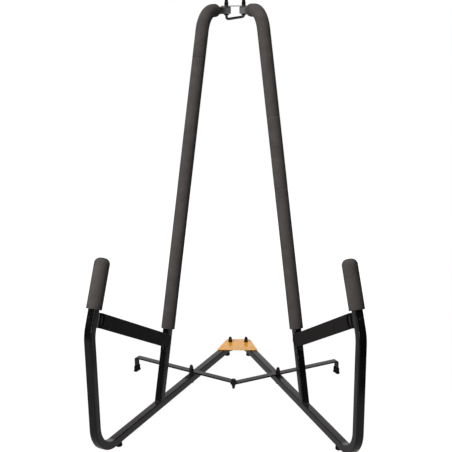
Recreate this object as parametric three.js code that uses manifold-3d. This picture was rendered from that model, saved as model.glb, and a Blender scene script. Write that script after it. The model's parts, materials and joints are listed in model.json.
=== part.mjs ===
// Folding cello stand. Two bent-tube side frames hinge on a plate at the back of the floor and on a
// bent rod under a strap at the top. A pair of pivoting stays spreads them, and two strips carry the
// instrument. Millimetres, Z up, the front of the stand towards -Y. The origin is the middle of the
// footprint.
import * as THREE from 'three';
import { mergeVertices } from 'three/addons/utils/BufferGeometryUtils.js';
import Module from 'manifold-3d';

const wasm = await Module();
wasm.setup();

const DEG = Math.PI / 180;
const Z_AXIS = new THREE.Vector3(0, 0, 1);

// Layout of one side frame, measured forward from its hinge axis and up from the floor
const hingeHalfSpacing = 26.4;
const openAngle = 22.6 * DEG;
const footHeight = 14;
const postDistance = 787.6;
const postHeight = 327.4;
const postLean = 0.8 * DEG;
const armLean = 22.6 * DEG;
const armLength = 179.5;
const uprightDistance = 473.1;
const topReach = 147.25;
const topHeight = 1120;
const tubeOverhang = 6;

// Square tube and its bends, with the radius at the centre line
const tubeSize = 22;
const tubeWall = 1.5;
const tubeCorner = 3;
const frontBend = 74;
const kinkBend = 90;
const topBend = 76;

// Clearance between touching pieces, and how far a cutter runs past what it cuts
const fitGap = 0.3;
const overrun = 2;

// Plastic plugs in the open tube ends
const plugLip = 2.5;
const plugChamfer = 1.2;
const hingePlugDepth = 18;
const armPlugDepth = 12;

// Foam sleeves, with the gaps that each leaves above its strip. The sleeves were pushed on by hand, so
// the two sides differ a little.
const uprightFoamWall = 8.3;
const uprightFoamGaps = { left: 34.9, right: 33.4 };
const uprightFoamRuns = { left: 11, right: 24 };
const armFoamWall = 8.8;
const armFoamGaps = { left: 21.3, right: 19.7 };
const armFoamRoof = 9;
const armFoamCrownRadius = 15;

// Support strips on the inner faces, with a rubber facing, each screwed on at its own height
const stripWidth = 38;
const stripThickness = 2.5;
const stripAngle = 28.3 * DEG;
const stripRises = { left: 37, right: 41 };
const stripEndSetBack = 22.2;
const stripBend = 8;
const stripTabReach = 8;
const rearTabDrops = { left: 17.7, right: 20.9 };
const rearTabHalf = 9;
const rearTabEar = 11;
const rearTabRise = 26;
const padThickness = 3;
const padInset = 1;

// Rear hinge plate
const plateThickness = 2.5;
const plateFrontHalf = 66.4;
const plateBackHalf = 39;
const plateFront = 68;
const plateBack = 22.5;
const plateCorner = 5;
const dimpleDistance = 52;
const dimpleRadius = 3.2;
const dimpleDepth = 1.5;
const dimpleFloorShare = 0.4;

// Strap and bent rod that join the frames at the top
const strapThickness = 2.5;
const strapRadius = 17;
const linkRadius = 4;
const linkDropLeft = 15.5;
const linkDropRight = 8.2;
const linkBend = 6;
const bushHeight = 3.8;
const bushRadius = 8.5;
const bushNeck = 6;
const bushRimShare = 0.3;

// Stays, flat bars: the pivot on the base tube, the common pivot in the middle, the bent outer leg
const stayDistance = 276.2;
const stayCentre = 327.7;
const stayTipReach = 210.8;
const stayWidth = 19;
const stayThickness = 4.5;
const stayBend = 5;
const stayStep = 0.5;
const spacerHeight = 2.6;
const spacerRadius = 7.5;

// Rubber feet under the base tubes and rubber boots on the stays
const footRadius = 9;
const footTopRadius = 8.2;
const footRounding = 2;
const footStem = 3;
const footStemRise = 6;
const frontFootGap = 27.6;
const rearFootDistance = 25;
const bootHeight = 19;
const bootWall = 2.4;
const bootCorner = 2.2;
const bootLipWall = 3.4;
const bootLipHeight = 4;
const bootFloor = 4;

// Fasteners: the large ones carry the rear hinge and the stays, the small ones the top link
const bolt = { radius: 4, flats: 13, head: 5.3 };
const nut = { flats: 13, hex: 6.5, dome: 5.8, height: 18, bore: 8.5 };
const tallNut = { flats: 12.5, hex: 8.5, dome: 5.5, height: 22, bore: 9 };
const pivotNut = { flats: 10.5, hex: 5.5, dome: 4.9, height: 16.5 };
const pivotHead = { radius: 7.2, height: 6, shank: 3.7 };
const washer = { radius: 8.4, thickness: 1.4 };
const topWasher = { radius: 7.2, thickness: 1.2 };
const stripScrew = { radius: 2.5, head: 4.2, headHeight: 2.6, flats: 8, nut: 4, tip: 1, rearLength: 9 };

// Rounded heads: shares of the radius and of the rise, from the rim to the crown
const domeShares = [[1, 0], [0.92, 0.12], [0.78, 0.37], [0.6, 0.62], [0.36, 0.88], [0.15, 1]];
const panHeadShares = [[1, 0], [1, 0.4], [0.7, 1]];
const pivotHeadShares = [[1, 0], [1, 0.35], [0.72, 0.85], [0, 1]];

// Facets of round pieces and of bends
const roundSides = 16;
const foamSides = 20;
const rodSides = 12;
const bendStep = 15 * DEG;
const cornerFacets = 1;
const arcFacets = 3;
const crownSteps = 4;

// Finishes, with the colours of the real stand
const finishes = {
  powderCoat: { color: 0x262524, roughness: 0.42, metalness: 0.3 },
  foam: { color: 0x3d3b39, roughness: 0.95, metalness: 0 },
  plastic: { color: 0x1c1b1b, roughness: 0.5, metalness: 0 },
  rubber: { color: 0x171717, roughness: 0.85, metalness: 0 },
  facing: { color: 0x2c2b2a, roughness: 0.8, metalness: 0 },
  goldZinc: { color: 0xdc9d3e, roughness: 0.35, metalness: 0.85 },
  brightZinc: { color: 0xc9cccd, roughness: 0.3, metalness: 0.9 },
  blackNickel: { color: 0x3a3838, roughness: 0.25, metalness: 0.85 },
  blackZinc: { color: 0x4c4949, roughness: 0.4, metalness: 0.7 },
};

// Levels that follow from the sizes above
const tubeHalf = tubeSize / 2;
const baseLevel = footHeight + tubeHalf;
const baseTop = footHeight + tubeSize;
const topUnderside = topHeight - tubeHalf;
const strapLevel = topHeight + tubeHalf + fitGap;
const topWasherSeat = strapLevel + strapThickness + fitGap;
const topNutSeat = topWasherSeat + topWasher.thickness + fitGap;
const plateLevel = baseTop + fitGap;
const lowerStayLevel = baseTop + fitGap + spacerHeight + fitGap;
const upperStayLevel = lowerStayLevel + stayThickness + stayStep;

// Points of the side frame in its own plane: x forward, z up
const uprightLean = Math.atan2(uprightDistance - topReach, topHeight - baseLevel);
const frontCorner = new THREE.Vector2(postDistance, baseLevel);
const kink = new THREE.Vector2(postDistance + postHeight * Math.tan(postLean), baseLevel + postHeight);
const armUp = new THREE.Vector2(-Math.sin(armLean), Math.cos(armLean));
const armForward = new THREE.Vector2(Math.cos(armLean), Math.sin(armLean));
const armEnd = kink.clone().addScaledVector(armUp, armLength);
const uprightUp = new THREE.Vector2(-Math.sin(uprightLean), Math.cos(uprightLean));
const uprightForward = new THREE.Vector2(Math.cos(uprightLean), Math.sin(uprightLean));
const uprightFoot = new THREE.Vector2(uprightDistance, baseLevel);
const stripBack = new THREE.Vector2(-Math.cos(stripAngle), -Math.sin(stripAngle));
const stripUp = new THREE.Vector2(-Math.sin(stripAngle), Math.cos(stripAngle));

function alongTo(origin, direction, height) {
  return origin.clone().addScaledVector(direction, (height - origin.y) / direction.y);
}

const topCorner = new THREE.Vector2(topReach, topHeight);
const uprightFoamRadius = tubeHalf + uprightFoamWall;
const armFoamRadius = tubeHalf + armFoamWall;
const frontFootDistance = postDistance - frontBend - frontFootGap;

// Where a strip crosses the arm and the upright, and where its rear tab is screwed on
function stripPlaces(label) {
  const onArm = alongTo(kink, armUp, kink.y + stripRises[label]);
  const reach = onArm.clone().sub(uprightFoot).cross(uprightUp) / uprightUp.cross(stripBack);
  const onUpright = onArm.clone().addScaledVector(stripBack, reach);
  const tab = alongTo(uprightFoot, uprightUp, onUpright.y - rearTabDrops[label]);
  return { onArm, onUpright, tab };
}

// Shared modelling helpers

// A swept path given by its stations, so that straight runs have no rings between their ends.
class StationPath extends THREE.Curve {
  constructor(points, tangents) {
    super();
    this.points = points;
    this.tangents = tangents;
  }

  stationAt(u) {
    return Math.round(u * (this.points.length - 1));
  }

  getPoint(u, target = new THREE.Vector3()) {
    return target.copy(this.points[this.stationAt(u)]);
  }

  getPointAt(u, target) {
    return this.getPoint(u, target);
  }

  getTangent(u, target = new THREE.Vector3()) {
    return target.copy(this.tangents[this.stationAt(u)]);
  }

  getTangentAt(u, target) {
    return this.getTangent(u, target);
  }
}

// Straight runs between the given points of the XZ plane, joined by arcs at the inner ones.
function bentPath(places, radii) {
  const points = [];
  const tangents = [];
  const station = (place, direction) => {
    points.push(new THREE.Vector3(place.x, 0, place.y));
    tangents.push(new THREE.Vector3(direction.x, 0, direction.y));
  };
  const runs = places.slice(1).map((place, i) => place.clone().sub(places[i]).normalize());
  station(places[0], runs[0]);
  radii.forEach((radius, i) => {
    const before = runs[i];
    const after = runs[i + 1];
    const turn = Math.atan2(before.cross(after), before.dot(after));
    const start = places[i + 1].clone().addScaledVector(before, -radius * Math.tan(Math.abs(turn) / 2));
    const toCentre = new THREE.Vector2(-before.y, before.x).multiplyScalar(Math.sign(turn) * radius);
    const centre = start.clone().add(toCentre);
    const steps = Math.ceil(Math.abs(turn) / bendStep);
    for (let step = 0; step <= steps; step += 1) {
      const angle = turn * step / steps;
      const place = start.clone().rotateAround(centre, angle);
      station(place, before.clone().rotateAround(new THREE.Vector2(), angle));
    }
  });
  station(places[places.length - 1], runs[runs.length - 1]);
  return new StationPath(points, tangents);
}

function sweep(section, path) {
  return new THREE.ExtrudeGeometry(section, {
    extrudePath: path,
    steps: path.points.length - 1,
    curveSegments: cornerFacets,
  });
}

function roundedRectangle(path, halfX, halfY, radius) {
  path.moveTo(halfX, -halfY + radius);
  path.absarc(halfX - radius, halfY - radius, radius, 0, Math.PI / 2);
  path.absarc(-halfX + radius, halfY - radius, radius, Math.PI / 2, Math.PI);
  path.absarc(-halfX + radius, -halfY + radius, radius, Math.PI, 1.5 * Math.PI);
  path.absarc(halfX - radius, -halfY + radius, radius, 1.5 * Math.PI, 2 * Math.PI);
  return path;
}

function tubeSection() {
  const section = roundedRectangle(new THREE.Shape(), tubeHalf, tubeHalf, tubeCorner);
  const inside = tubeHalf - tubeWall;
  section.holes.push(roundedRectangle(new THREE.Path(), inside, inside, tubeCorner - tubeWall));
  return section;
}

function regularPolygon(radius, sides) {
  const corners = Array.from({ length: sides }, (_, i) => (
    new THREE.Vector2(radius, 0).rotateAround(new THREE.Vector2(), 2 * Math.PI * (i + 0.5) / sides)
  ));
  return new THREE.Shape(corners);
}

// A solid of revolution about Z, from [radius, height] pairs that rise from axis to axis.
function turned(profile, sides = roundSides) {
  const points = profile.map(([radius, height]) => new THREE.Vector2(radius, height));
  return new THREE.LatheGeometry(points, sides).rotateX(Math.PI / 2);
}

function cylinder(radius, from, to, sides = roundSides) {
  return new THREE.CylinderGeometry(radius, radius, to - from, sides)
    .rotateX(Math.PI / 2)
    .translate(0, 0, (from + to) / 2);
}

function hexPrism(flats, from, to) {
  return cylinder(flats / Math.sqrt(3), from, to, 6);
}

// A hole that leaves the named clearance round a shank although both have flat facets.
function drill(radius, from, to) {
  return cylinder((radius + fitGap) / Math.cos(Math.PI / roundSides), from, to);
}

// Turns what is built along Z to lie along a direction, with its foot at a place.
function aimed(geometry, place, direction) {
  const turn = new THREE.Quaternion().setFromUnitVectors(Z_AXIS, direction);
  return geometry.applyQuaternion(turn).translate(place.x, place.y, place.z);
}

function extruded(shape, depth, curveSegments = arcFacets) {
  return new THREE.ExtrudeGeometry(shape, { depth, bevelEnabled: false, curveSegments });
}

// A shape drawn in the frame's XZ plane, as a slab between two distances towards the inside.
function slab(shape, inward, near, far) {
  return extruded(shape, far - near)
    .rotateX(Math.PI / 2)
    .translate(0, inward > 0 ? far : -near, 0);
}

// A profile drawn across a member, forward and sideways, drawn out along the member.
function alongMember(shape, place, forward, from, to) {
  const basis = new THREE.Matrix4().makeBasis(
    new THREE.Vector3(forward.x, 0, forward.y),
    new THREE.Vector3(0, 1, 0),
    new THREE.Vector3(-forward.y, 0, forward.x),
  );
  return extruded(shape, to - from)
    .translate(0, 0, from)
    .applyMatrix4(basis)
    .translate(place.x, 0, place.y);
}

function polygon(points) {
  return new THREE.Shape(points.map(([x, y]) => new THREE.Vector2(x, y)));
}

function solid(geometry) {
  const bare = geometry.clone();
  bare.deleteAttribute('normal');
  bare.deleteAttribute('uv');
  const merged = mergeVertices(bare);
  const kept = [];
  const index = merged.index.array;
  for (let i = 0; i < index.length; i += 3) {
    const [a, b, c] = [index[i], index[i + 1], index[i + 2]];
    if (a !== b && b !== c && c !== a) kept.push(a, b, c);
  }
  return new wasm.Manifold(new wasm.Mesh({
    numProp: 3,
    vertProperties: new Float32Array(merged.attributes.position.array),
    triVerts: new Uint32Array(kept),
  }));
}

function joined(...geometries) {
  return geometries.map(solid).reduce((whole, next) => whole.add(next));
}

function cut(body, ...cutters) {
  return cutters.map(solid).reduce((whole, next) => whole.subtract(next), body);
}

function piece(name, body, finish) {
  const mesh = body.getMesh();
  const geometry = new THREE.BufferGeometry();
  geometry.setAttribute('position', new THREE.BufferAttribute(new Float32Array(mesh.vertProperties), 3));
  geometry.setIndex(new THREE.BufferAttribute(new Uint32Array(mesh.triVerts), 1));
  geometry.computeVertexNormals();
  const result = new THREE.Mesh(geometry, new THREE.MeshStandardMaterial(finishes[finish]));
  result.name = name;
  return result;
}

function at(mesh, x, y, z) {
  mesh.position.set(x, y, z);
  return mesh;
}

// Fasteners, built upward from their seat

// The profile points of a rounded head of a given radius between two heights.
function headProfile(shares, radius, from, to) {
  return shares.map(([across, up]) => [radius * across, from + (to - from) * up]);
}

function capNut(size) {
  return joined(
    hexPrism(size.flats, 0, size.hex),
    turned([
      [0, 0],
      [size.dome, 0],
      ...headProfile(domeShares, size.dome, size.hex, size.height),
      [0, size.height],
    ], rodSides),
  );
}

function boredCapNut(size, shank) {
  return cut(capNut(size), drill(shank, -overrun, size.bore));
}

// A bolt whose head hangs below the seat and whose shank rises above it.
function hexBolt(shankTop) {
  return joined(hexPrism(bolt.flats, -bolt.head, 0), cylinder(bolt.radius, -bolt.head / 2, shankTop));
}

function panScrew(length) {
  const { radius, head, headHeight } = stripScrew;
  return solid(turned([
    [0, -length],
    [radius, -length],
    [radius, 0],
    ...headProfile(panHeadShares, head, 0, headHeight),
    [0, headHeight],
  ], rodSides));
}

// Rear hinge plate and top link: the parts that both frames turn on

function hingePlate() {
  const outline = new THREE.Shape();
  const slope = Math.atan2(plateFrontHalf - plateBackHalf, plateFront + plateBack);
  const front = plateCorner / Math.tan((Math.PI / 2 - slope) / 2);
  const back = plateCorner / Math.tan((Math.PI / 2 + slope) / 2);
  const corner = (x, y, cutBack, fromX, fromY, toX, toY) => {
    outline.lineTo(x + cutBack * fromX, y + cutBack * fromY);
    outline.quadraticCurveTo(x, y, x + cutBack * toX, y + cutBack * toY);
  };
  const sideX = Math.sin(slope);
  const sideY = Math.cos(slope);
  outline.moveTo(0, -plateFront);
  corner(plateFrontHalf, -plateFront, front, -1, 0, -sideX, sideY);
  corner(plateBackHalf, plateBack, back, sideX, -sideY, -1, 0);
  corner(-plateBackHalf, plateBack, back, 1, 0, -sideX, -sideY);
  corner(-plateFrontHalf, -plateFront, front, sideX, sideY, 1, 0);
  const plate = extruded(outline, plateThickness);
  const bores = [-1, 1].map((side) => drill(bolt.radius, -overrun, plateThickness + overrun)
    .translate(side * hingeHalfSpacing, 0, 0));
  const dimples = [-1, 1].map((side) => turned([
    [0, plateThickness - dimpleDepth],
    [dimpleRadius * dimpleFloorShare, plateThickness - dimpleDepth],
    [dimpleRadius, plateThickness],
    [dimpleRadius, plateThickness + overrun],
    [0, plateThickness + overrun],
  ], rodSides).translate(
    side * (hingeHalfSpacing + dimpleDistance * Math.sin(openAngle)),
    -dimpleDistance * Math.cos(openAngle),
    0,
  ));
  const mesh = piece('rear_hinge_plate', cut(solid(plate), ...bores, ...dimples), 'goldZinc');
  return at(mesh, 0, 0, plateLevel);
}

function topLinkStrap() {
  const outline = new THREE.Shape();
  outline.absarc(hingeHalfSpacing, 0, strapRadius, -Math.PI / 2, Math.PI / 2);
  outline.absarc(-hingeHalfSpacing, 0, strapRadius, Math.PI / 2, 1.5 * Math.PI);
  const bores = [-1, 1].map((side) => drill(linkRadius, -overrun, strapThickness + overrun)
    .translate(side * hingeHalfSpacing, 0, 0));
  const strap = cut(solid(extruded(outline, strapThickness, rodSides / 2)), ...bores);
  return at(piece('top_link_strap', strap, 'powderCoat'), 0, 0, strapLevel);
}

function topLinkRod() {
  const pinTop = topNutSeat + tallNut.bore - overrun;
  const places = [
    new THREE.Vector2(-hingeHalfSpacing, pinTop),
    new THREE.Vector2(-hingeHalfSpacing, topUnderside - linkDropLeft),
    new THREE.Vector2(hingeHalfSpacing, topUnderside - linkDropRight),
    new THREE.Vector2(hingeHalfSpacing, pinTop),
  ];
  const rod = sweep(regularPolygon(linkRadius, rodSides), bentPath(places, [linkBend, linkBend]));
  return piece('top_link_rod', solid(rod), 'blackZinc');
}

function hingeHardware(side, label) {
  const x = side * hingeHalfSpacing;
  const plateTop = plateLevel + plateThickness;
  const boltSeat = footHeight - fitGap - washer.thickness - fitGap;
  const shankTop = plateTop + fitGap + nut.bore - overrun - boltSeat;
  const ring = (size, shank) => cut(
    solid(cylinder(size.radius, 0, size.thickness)),
    drill(shank, -overrun, size.thickness + overrun),
  );
  const rearWasher = ring(washer, bolt.radius);
  const bush = cut(
    solid(turned([
      [0, -bushHeight],
      [bushNeck, -bushHeight],
      [bushRadius, -bushHeight * bushRimShare],
      [bushRadius, 0],
      [0, 0],
    ])),
    drill(linkRadius, -bushHeight - overrun, overrun),
  );
  const rearNut = boredCapNut(nut, bolt.radius);
  const topNut = boredCapNut(tallNut, linkRadius);
  return [
    at(piece(`${label}_rear_hinge_bolt`, hexBolt(shankTop), 'brightZinc'), x, 0, boltSeat),
    at(piece(`${label}_rear_hinge_washer`, rearWasher, 'brightZinc'), x, 0, boltSeat + fitGap),
    at(piece(`${label}_rear_hinge_nut`, rearNut, 'blackNickel'), x, 0, plateTop + fitGap),
    at(piece(`${label}_top_link_bush`, bush, 'plastic'), x, 0, topUnderside - fitGap),
    at(piece(`${label}_top_link_washer`, ring(topWasher, linkRadius), 'blackNickel'), x, 0, topWasherSeat),
    at(piece(`${label}_top_link_nut`, topNut, 'blackNickel'), x, 0, topNutSeat),
  ];
}

// Side frame: tubes, plugs and foam

function baseTube(name, strip) {
  const rear = new THREE.Vector2(-tubeOverhang, baseLevel);
  const path = bentPath([rear, frontCorner, kink, armEnd], [frontBend, kinkBend]);
  const forward = new THREE.Vector3(armForward.x, 0, armForward.y);
  const crossing = new THREE.Vector3(strip.onArm.x, 0, strip.onArm.y);
  const through = tubeHalf + overrun;
  return piece(name, cut(
    solid(sweep(tubeSection(), path)),
    drill(bolt.radius, baseLevel - through, baseLevel + through),
    drill(bolt.radius, baseLevel - through, baseLevel + through).translate(stayDistance, 0, 0),
    drill(footStem, footHeight - overrun, baseLevel).translate(frontFootDistance, 0, 0),
    drill(footStem, footHeight - overrun, baseLevel).translate(rearFootDistance, 0, 0),
    aimed(drill(stripScrew.radius, -through, through), crossing, forward),
  ), 'powderCoat');
}

function uprightTube(name, strip) {
  const path = bentPath([uprightFoot, topCorner, new THREE.Vector2(-tubeOverhang, topHeight)], [topBend]);
  const forward = new THREE.Vector3(uprightForward.x, 0, uprightForward.y);
  const tabPlace = new THREE.Vector3(strip.tab.x, 0, strip.tab.y);
  const belowSeat = new THREE.BoxGeometry(2 * tubeSize, 2 * tubeSize, 2 * tubeSize)
    .translate(uprightDistance, 0, baseTop + fitGap - tubeSize);
  return piece(name, cut(
    solid(sweep(tubeSection(), path)),
    belowSeat,
    drill(linkRadius, topHeight - tubeHalf - overrun, topHeight + tubeHalf + overrun),
    aimed(drill(stripScrew.radius, 0, tubeHalf + overrun), tabPlace, forward),
  ), 'powderCoat');
}

// A plug whose lip stands on the tube end at z = 0 and whose stub goes down into the tube.
function endPlug(depth) {
  const inside = tubeHalf - tubeWall - fitGap;
  const stub = extruded(
    roundedRectangle(new THREE.Shape(), inside, inside, tubeCorner - tubeWall),
    depth + plugLip / 2,
    cornerFacets,
  ).translate(0, 0, -depth);
  const flat = tubeHalf - plugChamfer;
  const lip = new THREE.ExtrudeGeometry(
    roundedRectangle(new THREE.Shape(), flat, flat, tubeCorner - plugChamfer / 2),
    {
      depth: plugLip - plugChamfer - fitGap,
      bevelThickness: plugChamfer,
      bevelSize: plugChamfer,
      bevelSegments: 1,
      curveSegments: cornerFacets,
    },
  ).translate(0, 0, fitGap);
  const lowerBevel = new THREE.BoxGeometry(2 * tubeSize, 2 * tubeSize, 2 * plugChamfer)
    .translate(0, 0, fitGap - plugChamfer);
  return cut(solid(lip), lowerBevel).add(solid(stub));
}

function hingePlug(name, level, boreRadius) {
  const reach = tubeHalf + overrun;
  const hingeAxis = new THREE.Vector3(0, 0, -tubeOverhang);
  const bore = aimed(drill(boreRadius, -reach, reach), hingeAxis, new THREE.Vector3(1, 0, 0));
  const mesh = piece(name, cut(endPlug(hingePlugDepth), bore), 'plastic');
  mesh.rotation.y = -Math.PI / 2;
  return at(mesh, -tubeOverhang, 0, level);
}

function armPlug(name) {
  const mesh = piece(name, endPlug(armPlugDepth), 'plastic');
  mesh.rotation.y = -armLean;
  return at(mesh, armEnd.x, 0, armEnd.y);
}

function sleeveSection(radius) {
  const section = regularPolygon(radius, foamSides);
  const inside = tubeHalf + fitGap;
  section.holes.push(roundedRectangle(new THREE.Path(), inside, inside, tubeCorner + fitGap));
  return section;
}

// Upright foam: it follows the tube round the top bend and a short run beyond it.
function uprightFoam(name, strip, gap, run) {
  const end = topCorner.x - topBend * Math.tan((Math.PI / 2 - uprightLean) / 2) - run;
  const start = alongTo(uprightFoot, uprightUp, strip.onUpright.y + gap);
  const path = bentPath([start, topCorner, new THREE.Vector2(end, topHeight)], [topBend]);
  return piece(name, solid(sweep(sleeveSection(uprightFoamRadius), path)), 'foam');
}

// Arm foam: a sleeve with a closed, domed top, built up from its lower end.
function armFoam(name, strip, gap) {
  const start = alongTo(kink, armUp, strip.onArm.y + gap);
  const socket = armEnd.distanceTo(start) + plugLip + fitGap;
  const top = socket + armFoamRoof;
  const inside = tubeHalf + fitGap;
  const bore = extruded(
    roundedRectangle(new THREE.Shape(), inside, inside, tubeCorner + fitGap),
    socket + overrun,
    cornerFacets,
  ).translate(0, 0, -overrun);
  const profile = [[0, 0], [armFoamRadius, 0]];
  for (let step = 0; step < crownSteps; step += 1) {
    const angle = Math.PI / 2 * step / crownSteps;
    profile.push([
      armFoamRadius - armFoamCrownRadius * (1 - Math.cos(angle)),
      top - armFoamCrownRadius * (1 - Math.sin(angle)),
    ]);
  }
  profile.push([armFoamRadius - armFoamCrownRadius, top], [0, top]);
  const mesh = piece(name, cut(solid(turned(profile, foamSides)), bore), 'foam');
  mesh.rotation.y = -armLean;
  return at(mesh, start.x, 0, start.y);
}

// Support strip: a flat steel strip with a bent tab at the arm and one at the upright

function stripEdgePoint(strip, side, setBack, halfWidth) {
  const along = (side * halfWidth + setBack * armForward.dot(stripUp)) / armUp.dot(stripUp);
  return strip.onArm.clone().addScaledVector(armForward, -setBack).addScaledVector(armUp, along);
}

function stripOutline(strip, setBack, halfWidth) {
  const outline = new THREE.Shape();
  const lower = stripEdgePoint(strip, -1, setBack, halfWidth);
  const upper = stripEdgePoint(strip, 1, setBack, halfWidth);
  const end = strip.onUpright.clone().addScaledVector(stripBack, -stripEndSetBack);
  outline.moveTo(lower.x, lower.y);
  outline.lineTo(upper.x, upper.y);
  outline.absarc(end.x, end.y, halfWidth, stripAngle + Math.PI / 2, stripAngle + 1.5 * Math.PI);
  return outline;
}

function supportStrip(name, inward, strip) {
  const near = tubeHalf + fitGap;
  const far = near + stripThickness;
  const half = stripWidth / 2;
  const plate = slab(stripOutline(strip, near + stripBend, half), inward, near, far);

  const bendCentre = [-near - stripBend, inward * (far - stripBend)];
  const front = new THREE.Shape();
  front.moveTo(-near, -inward * stripTabReach);
  front.lineTo(-near, bendCentre[1]);
  front.absarc(...bendCentre, stripBend, 0, inward * Math.PI / 2, inward < 0);
  front.lineTo(bendCentre[0] - overrun, inward * far);
  front.lineTo(bendCentre[0] - overrun, inward * near);
  front.absarc(...bendCentre, stripBend - stripThickness, inward * Math.PI / 2, 0, inward > 0);
  front.lineTo(-far, -inward * stripTabReach);
  const widthBox = new THREE.BoxGeometry(2 * stripWidth, 2 * stripWidth, stripWidth)
    .rotateY(-stripAngle)
    .translate(strip.onArm.x, 0, strip.onArm.y);
  const frontTab = solid(alongMember(front, strip.onArm, armForward, -stripWidth, stripWidth))
    .intersect(solid(widthBox));

  const tab = polygon([
    [near, -inward * rearTabHalf],
    [far, -inward * rearTabHalf],
    [far, inward * far],
    [near, inward * far],
  ]);
  const ear = polygon([
    [near, inward * near],
    [near + rearTabEar, inward * near],
    [near + rearTabEar, inward * far],
    [near, inward * far],
  ]);
  const body = solid(plate)
    .add(frontTab)
    .add(solid(alongMember(tab, strip.tab, uprightForward, -rearTabHalf, rearTabHalf)))
    .add(solid(alongMember(ear, strip.tab, uprightForward, -rearTabHalf, rearTabRise)));

  const armHole = aimed(
    drill(stripScrew.radius, -far - overrun, 0),
    new THREE.Vector3(strip.onArm.x, 0, strip.onArm.y),
    new THREE.Vector3(armForward.x, 0, armForward.y),
  );
  const uprightHole = aimed(
    drill(stripScrew.radius, 0, far + overrun),
    new THREE.Vector3(strip.tab.x, 0, strip.tab.y),
    new THREE.Vector3(uprightForward.x, 0, uprightForward.y),
  );
  return piece(name, cut(body, armHole, uprightHole), 'powderCoat');
}

function supportPad(name, inward, strip) {
  const near = tubeHalf + fitGap + stripThickness + fitGap;
  const setBack = tubeHalf + fitGap + stripBend + padInset;
  const outline = stripOutline(strip, setBack, stripWidth / 2 - padInset);
  return piece(name, solid(slab(outline, inward, near, near + padThickness)), 'facing');
}

function stripFasteners(label, strip) {
  const seat = tubeHalf + fitGap;
  const behindTab = -(seat + stripThickness + fitGap);
  const frontLength = seat - behindTab + stripScrew.nut + stripScrew.tip;
  const onArm = (mesh, distance) => {
    mesh.rotation.y = Math.PI / 2 - armLean;
    return at(mesh, strip.onArm.x + distance * armForward.x, 0, strip.onArm.y + distance * armForward.y);
  };
  const nutBody = cut(
    solid(hexPrism(stripScrew.flats, -stripScrew.nut, 0)),
    drill(stripScrew.radius, -stripScrew.nut - overrun, overrun),
  );
  const rear = piece(`${label}_strip_rear_screw`, panScrew(stripScrew.rearLength), 'blackNickel');
  rear.rotation.y = Math.PI / 2 - uprightLean;
  const rearSeat = seat + stripThickness + fitGap;
  at(rear, strip.tab.x + rearSeat * uprightForward.x, 0, strip.tab.y + rearSeat * uprightForward.y);
  return [
    onArm(piece(`${label}_strip_front_screw`, panScrew(frontLength), 'blackNickel'), seat),
    onArm(piece(`${label}_strip_front_nut`, nutBody, 'blackZinc'), behindTab),
    rear,
  ];
}

// Feet

function foot(name, distance) {
  const top = footHeight - fitGap;
  const body = solid(turned([
    [0, 0],
    [footRadius - footRounding, 0],
    [footRadius, footRounding],
    [footTopRadius, top],
    [footStem, top],
    [footStem, top + footStemRise],
    [0, top + footStemRise],
  ]));
  return at(piece(name, body, 'rubber'), distance, 0, 0);
}

// Stays, built with x towards the common pivot and z = 0 at half the bar's thickness

function stayBar(name, reach, level) {
  const halfThickness = stayThickness / 2;
  const halfWidth = stayWidth / 2;
  const places = [
    new THREE.Vector2(reach, 0),
    new THREE.Vector2(-stayTipReach, 0),
    new THREE.Vector2(-stayTipReach, bootFloor + fitGap - level),
  ];
  const section = polygon([
    [-halfThickness, -halfWidth],
    [halfThickness, -halfWidth],
    [halfThickness, halfWidth],
    [-halfThickness, halfWidth],
  ]);
  const bar = joined(
    sweep(section, bentPath(places, [stayBend])),
    cylinder(halfWidth, -halfThickness, halfThickness).translate(reach, 0, 0),
  );
  return piece(name, cut(
    bar,
    drill(bolt.radius, -stayThickness, stayThickness),
    drill(pivotHead.shank, -stayThickness, stayThickness).translate(reach, 0, 0),
  ), 'powderCoat');
}

function stayBoot(name, level) {
  const block = (wall, height) => extruded(
    roundedRectangle(new THREE.Shape(), stayThickness / 2 + wall, stayWidth / 2 + wall, bootCorner),
    height,
  );
  const slot = new THREE.BoxGeometry(stayThickness + 2 * fitGap, stayWidth + 2 * fitGap, 2 * bootHeight)
    .translate(0, 0, bootFloor + bootHeight);
  const body = cut(joined(block(bootWall, bootHeight), block(bootLipWall, bootLipHeight)), slot);
  return at(piece(name, body, 'rubber'), -stayTipReach, 0, -level);
}

// Both halves of the common pivot stop at the plane between the two eyes.
function centrePivotBolt(reach) {
  const { radius, height, shank } = pivotHead;
  const seat = stayThickness / 2 + fitGap;
  const body = solid(turned([
    [0, -stayThickness / 2],
    [shank, -stayThickness / 2],
    [shank, seat],
    ...headProfile(pivotHeadShares, radius, seat, seat + height),
  ]));
  return at(piece('centre_pivot_bolt', body, 'blackNickel'), reach, 0, 0);
}

function centrePivotNut(reach) {
  const seat = stayThickness / 2 + fitGap;
  const stub = cylinder(pivotHead.shank, -pivotNut.hex / 2, seat + stayThickness / 2);
  const hanging = capNut(pivotNut).rotate([180, 0, 0]);
  return at(piece('centre_pivot_nut', hanging.add(solid(stub)), 'blackNickel'), reach, 0, -seat);
}

function stay(label, side, centre) {
  const upper = side < 0;
  const underside = upper ? upperStayLevel : lowerStayLevel;
  const level = underside + stayThickness / 2;
  const reach = Math.hypot(centre.x - stayDistance, centre.y);
  const group = new THREE.Group();
  group.position.set(stayDistance, 0, level);
  group.rotation.z = Math.atan2(centre.y, centre.x - stayDistance);
  group.add(
    stayBar(`${label}_stay_bar`, reach, level),
    stayBoot(`${label}_stay_boot`, level),
    upper ? centrePivotBolt(reach) : centrePivotNut(reach),
  );
  return group;
}

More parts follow.
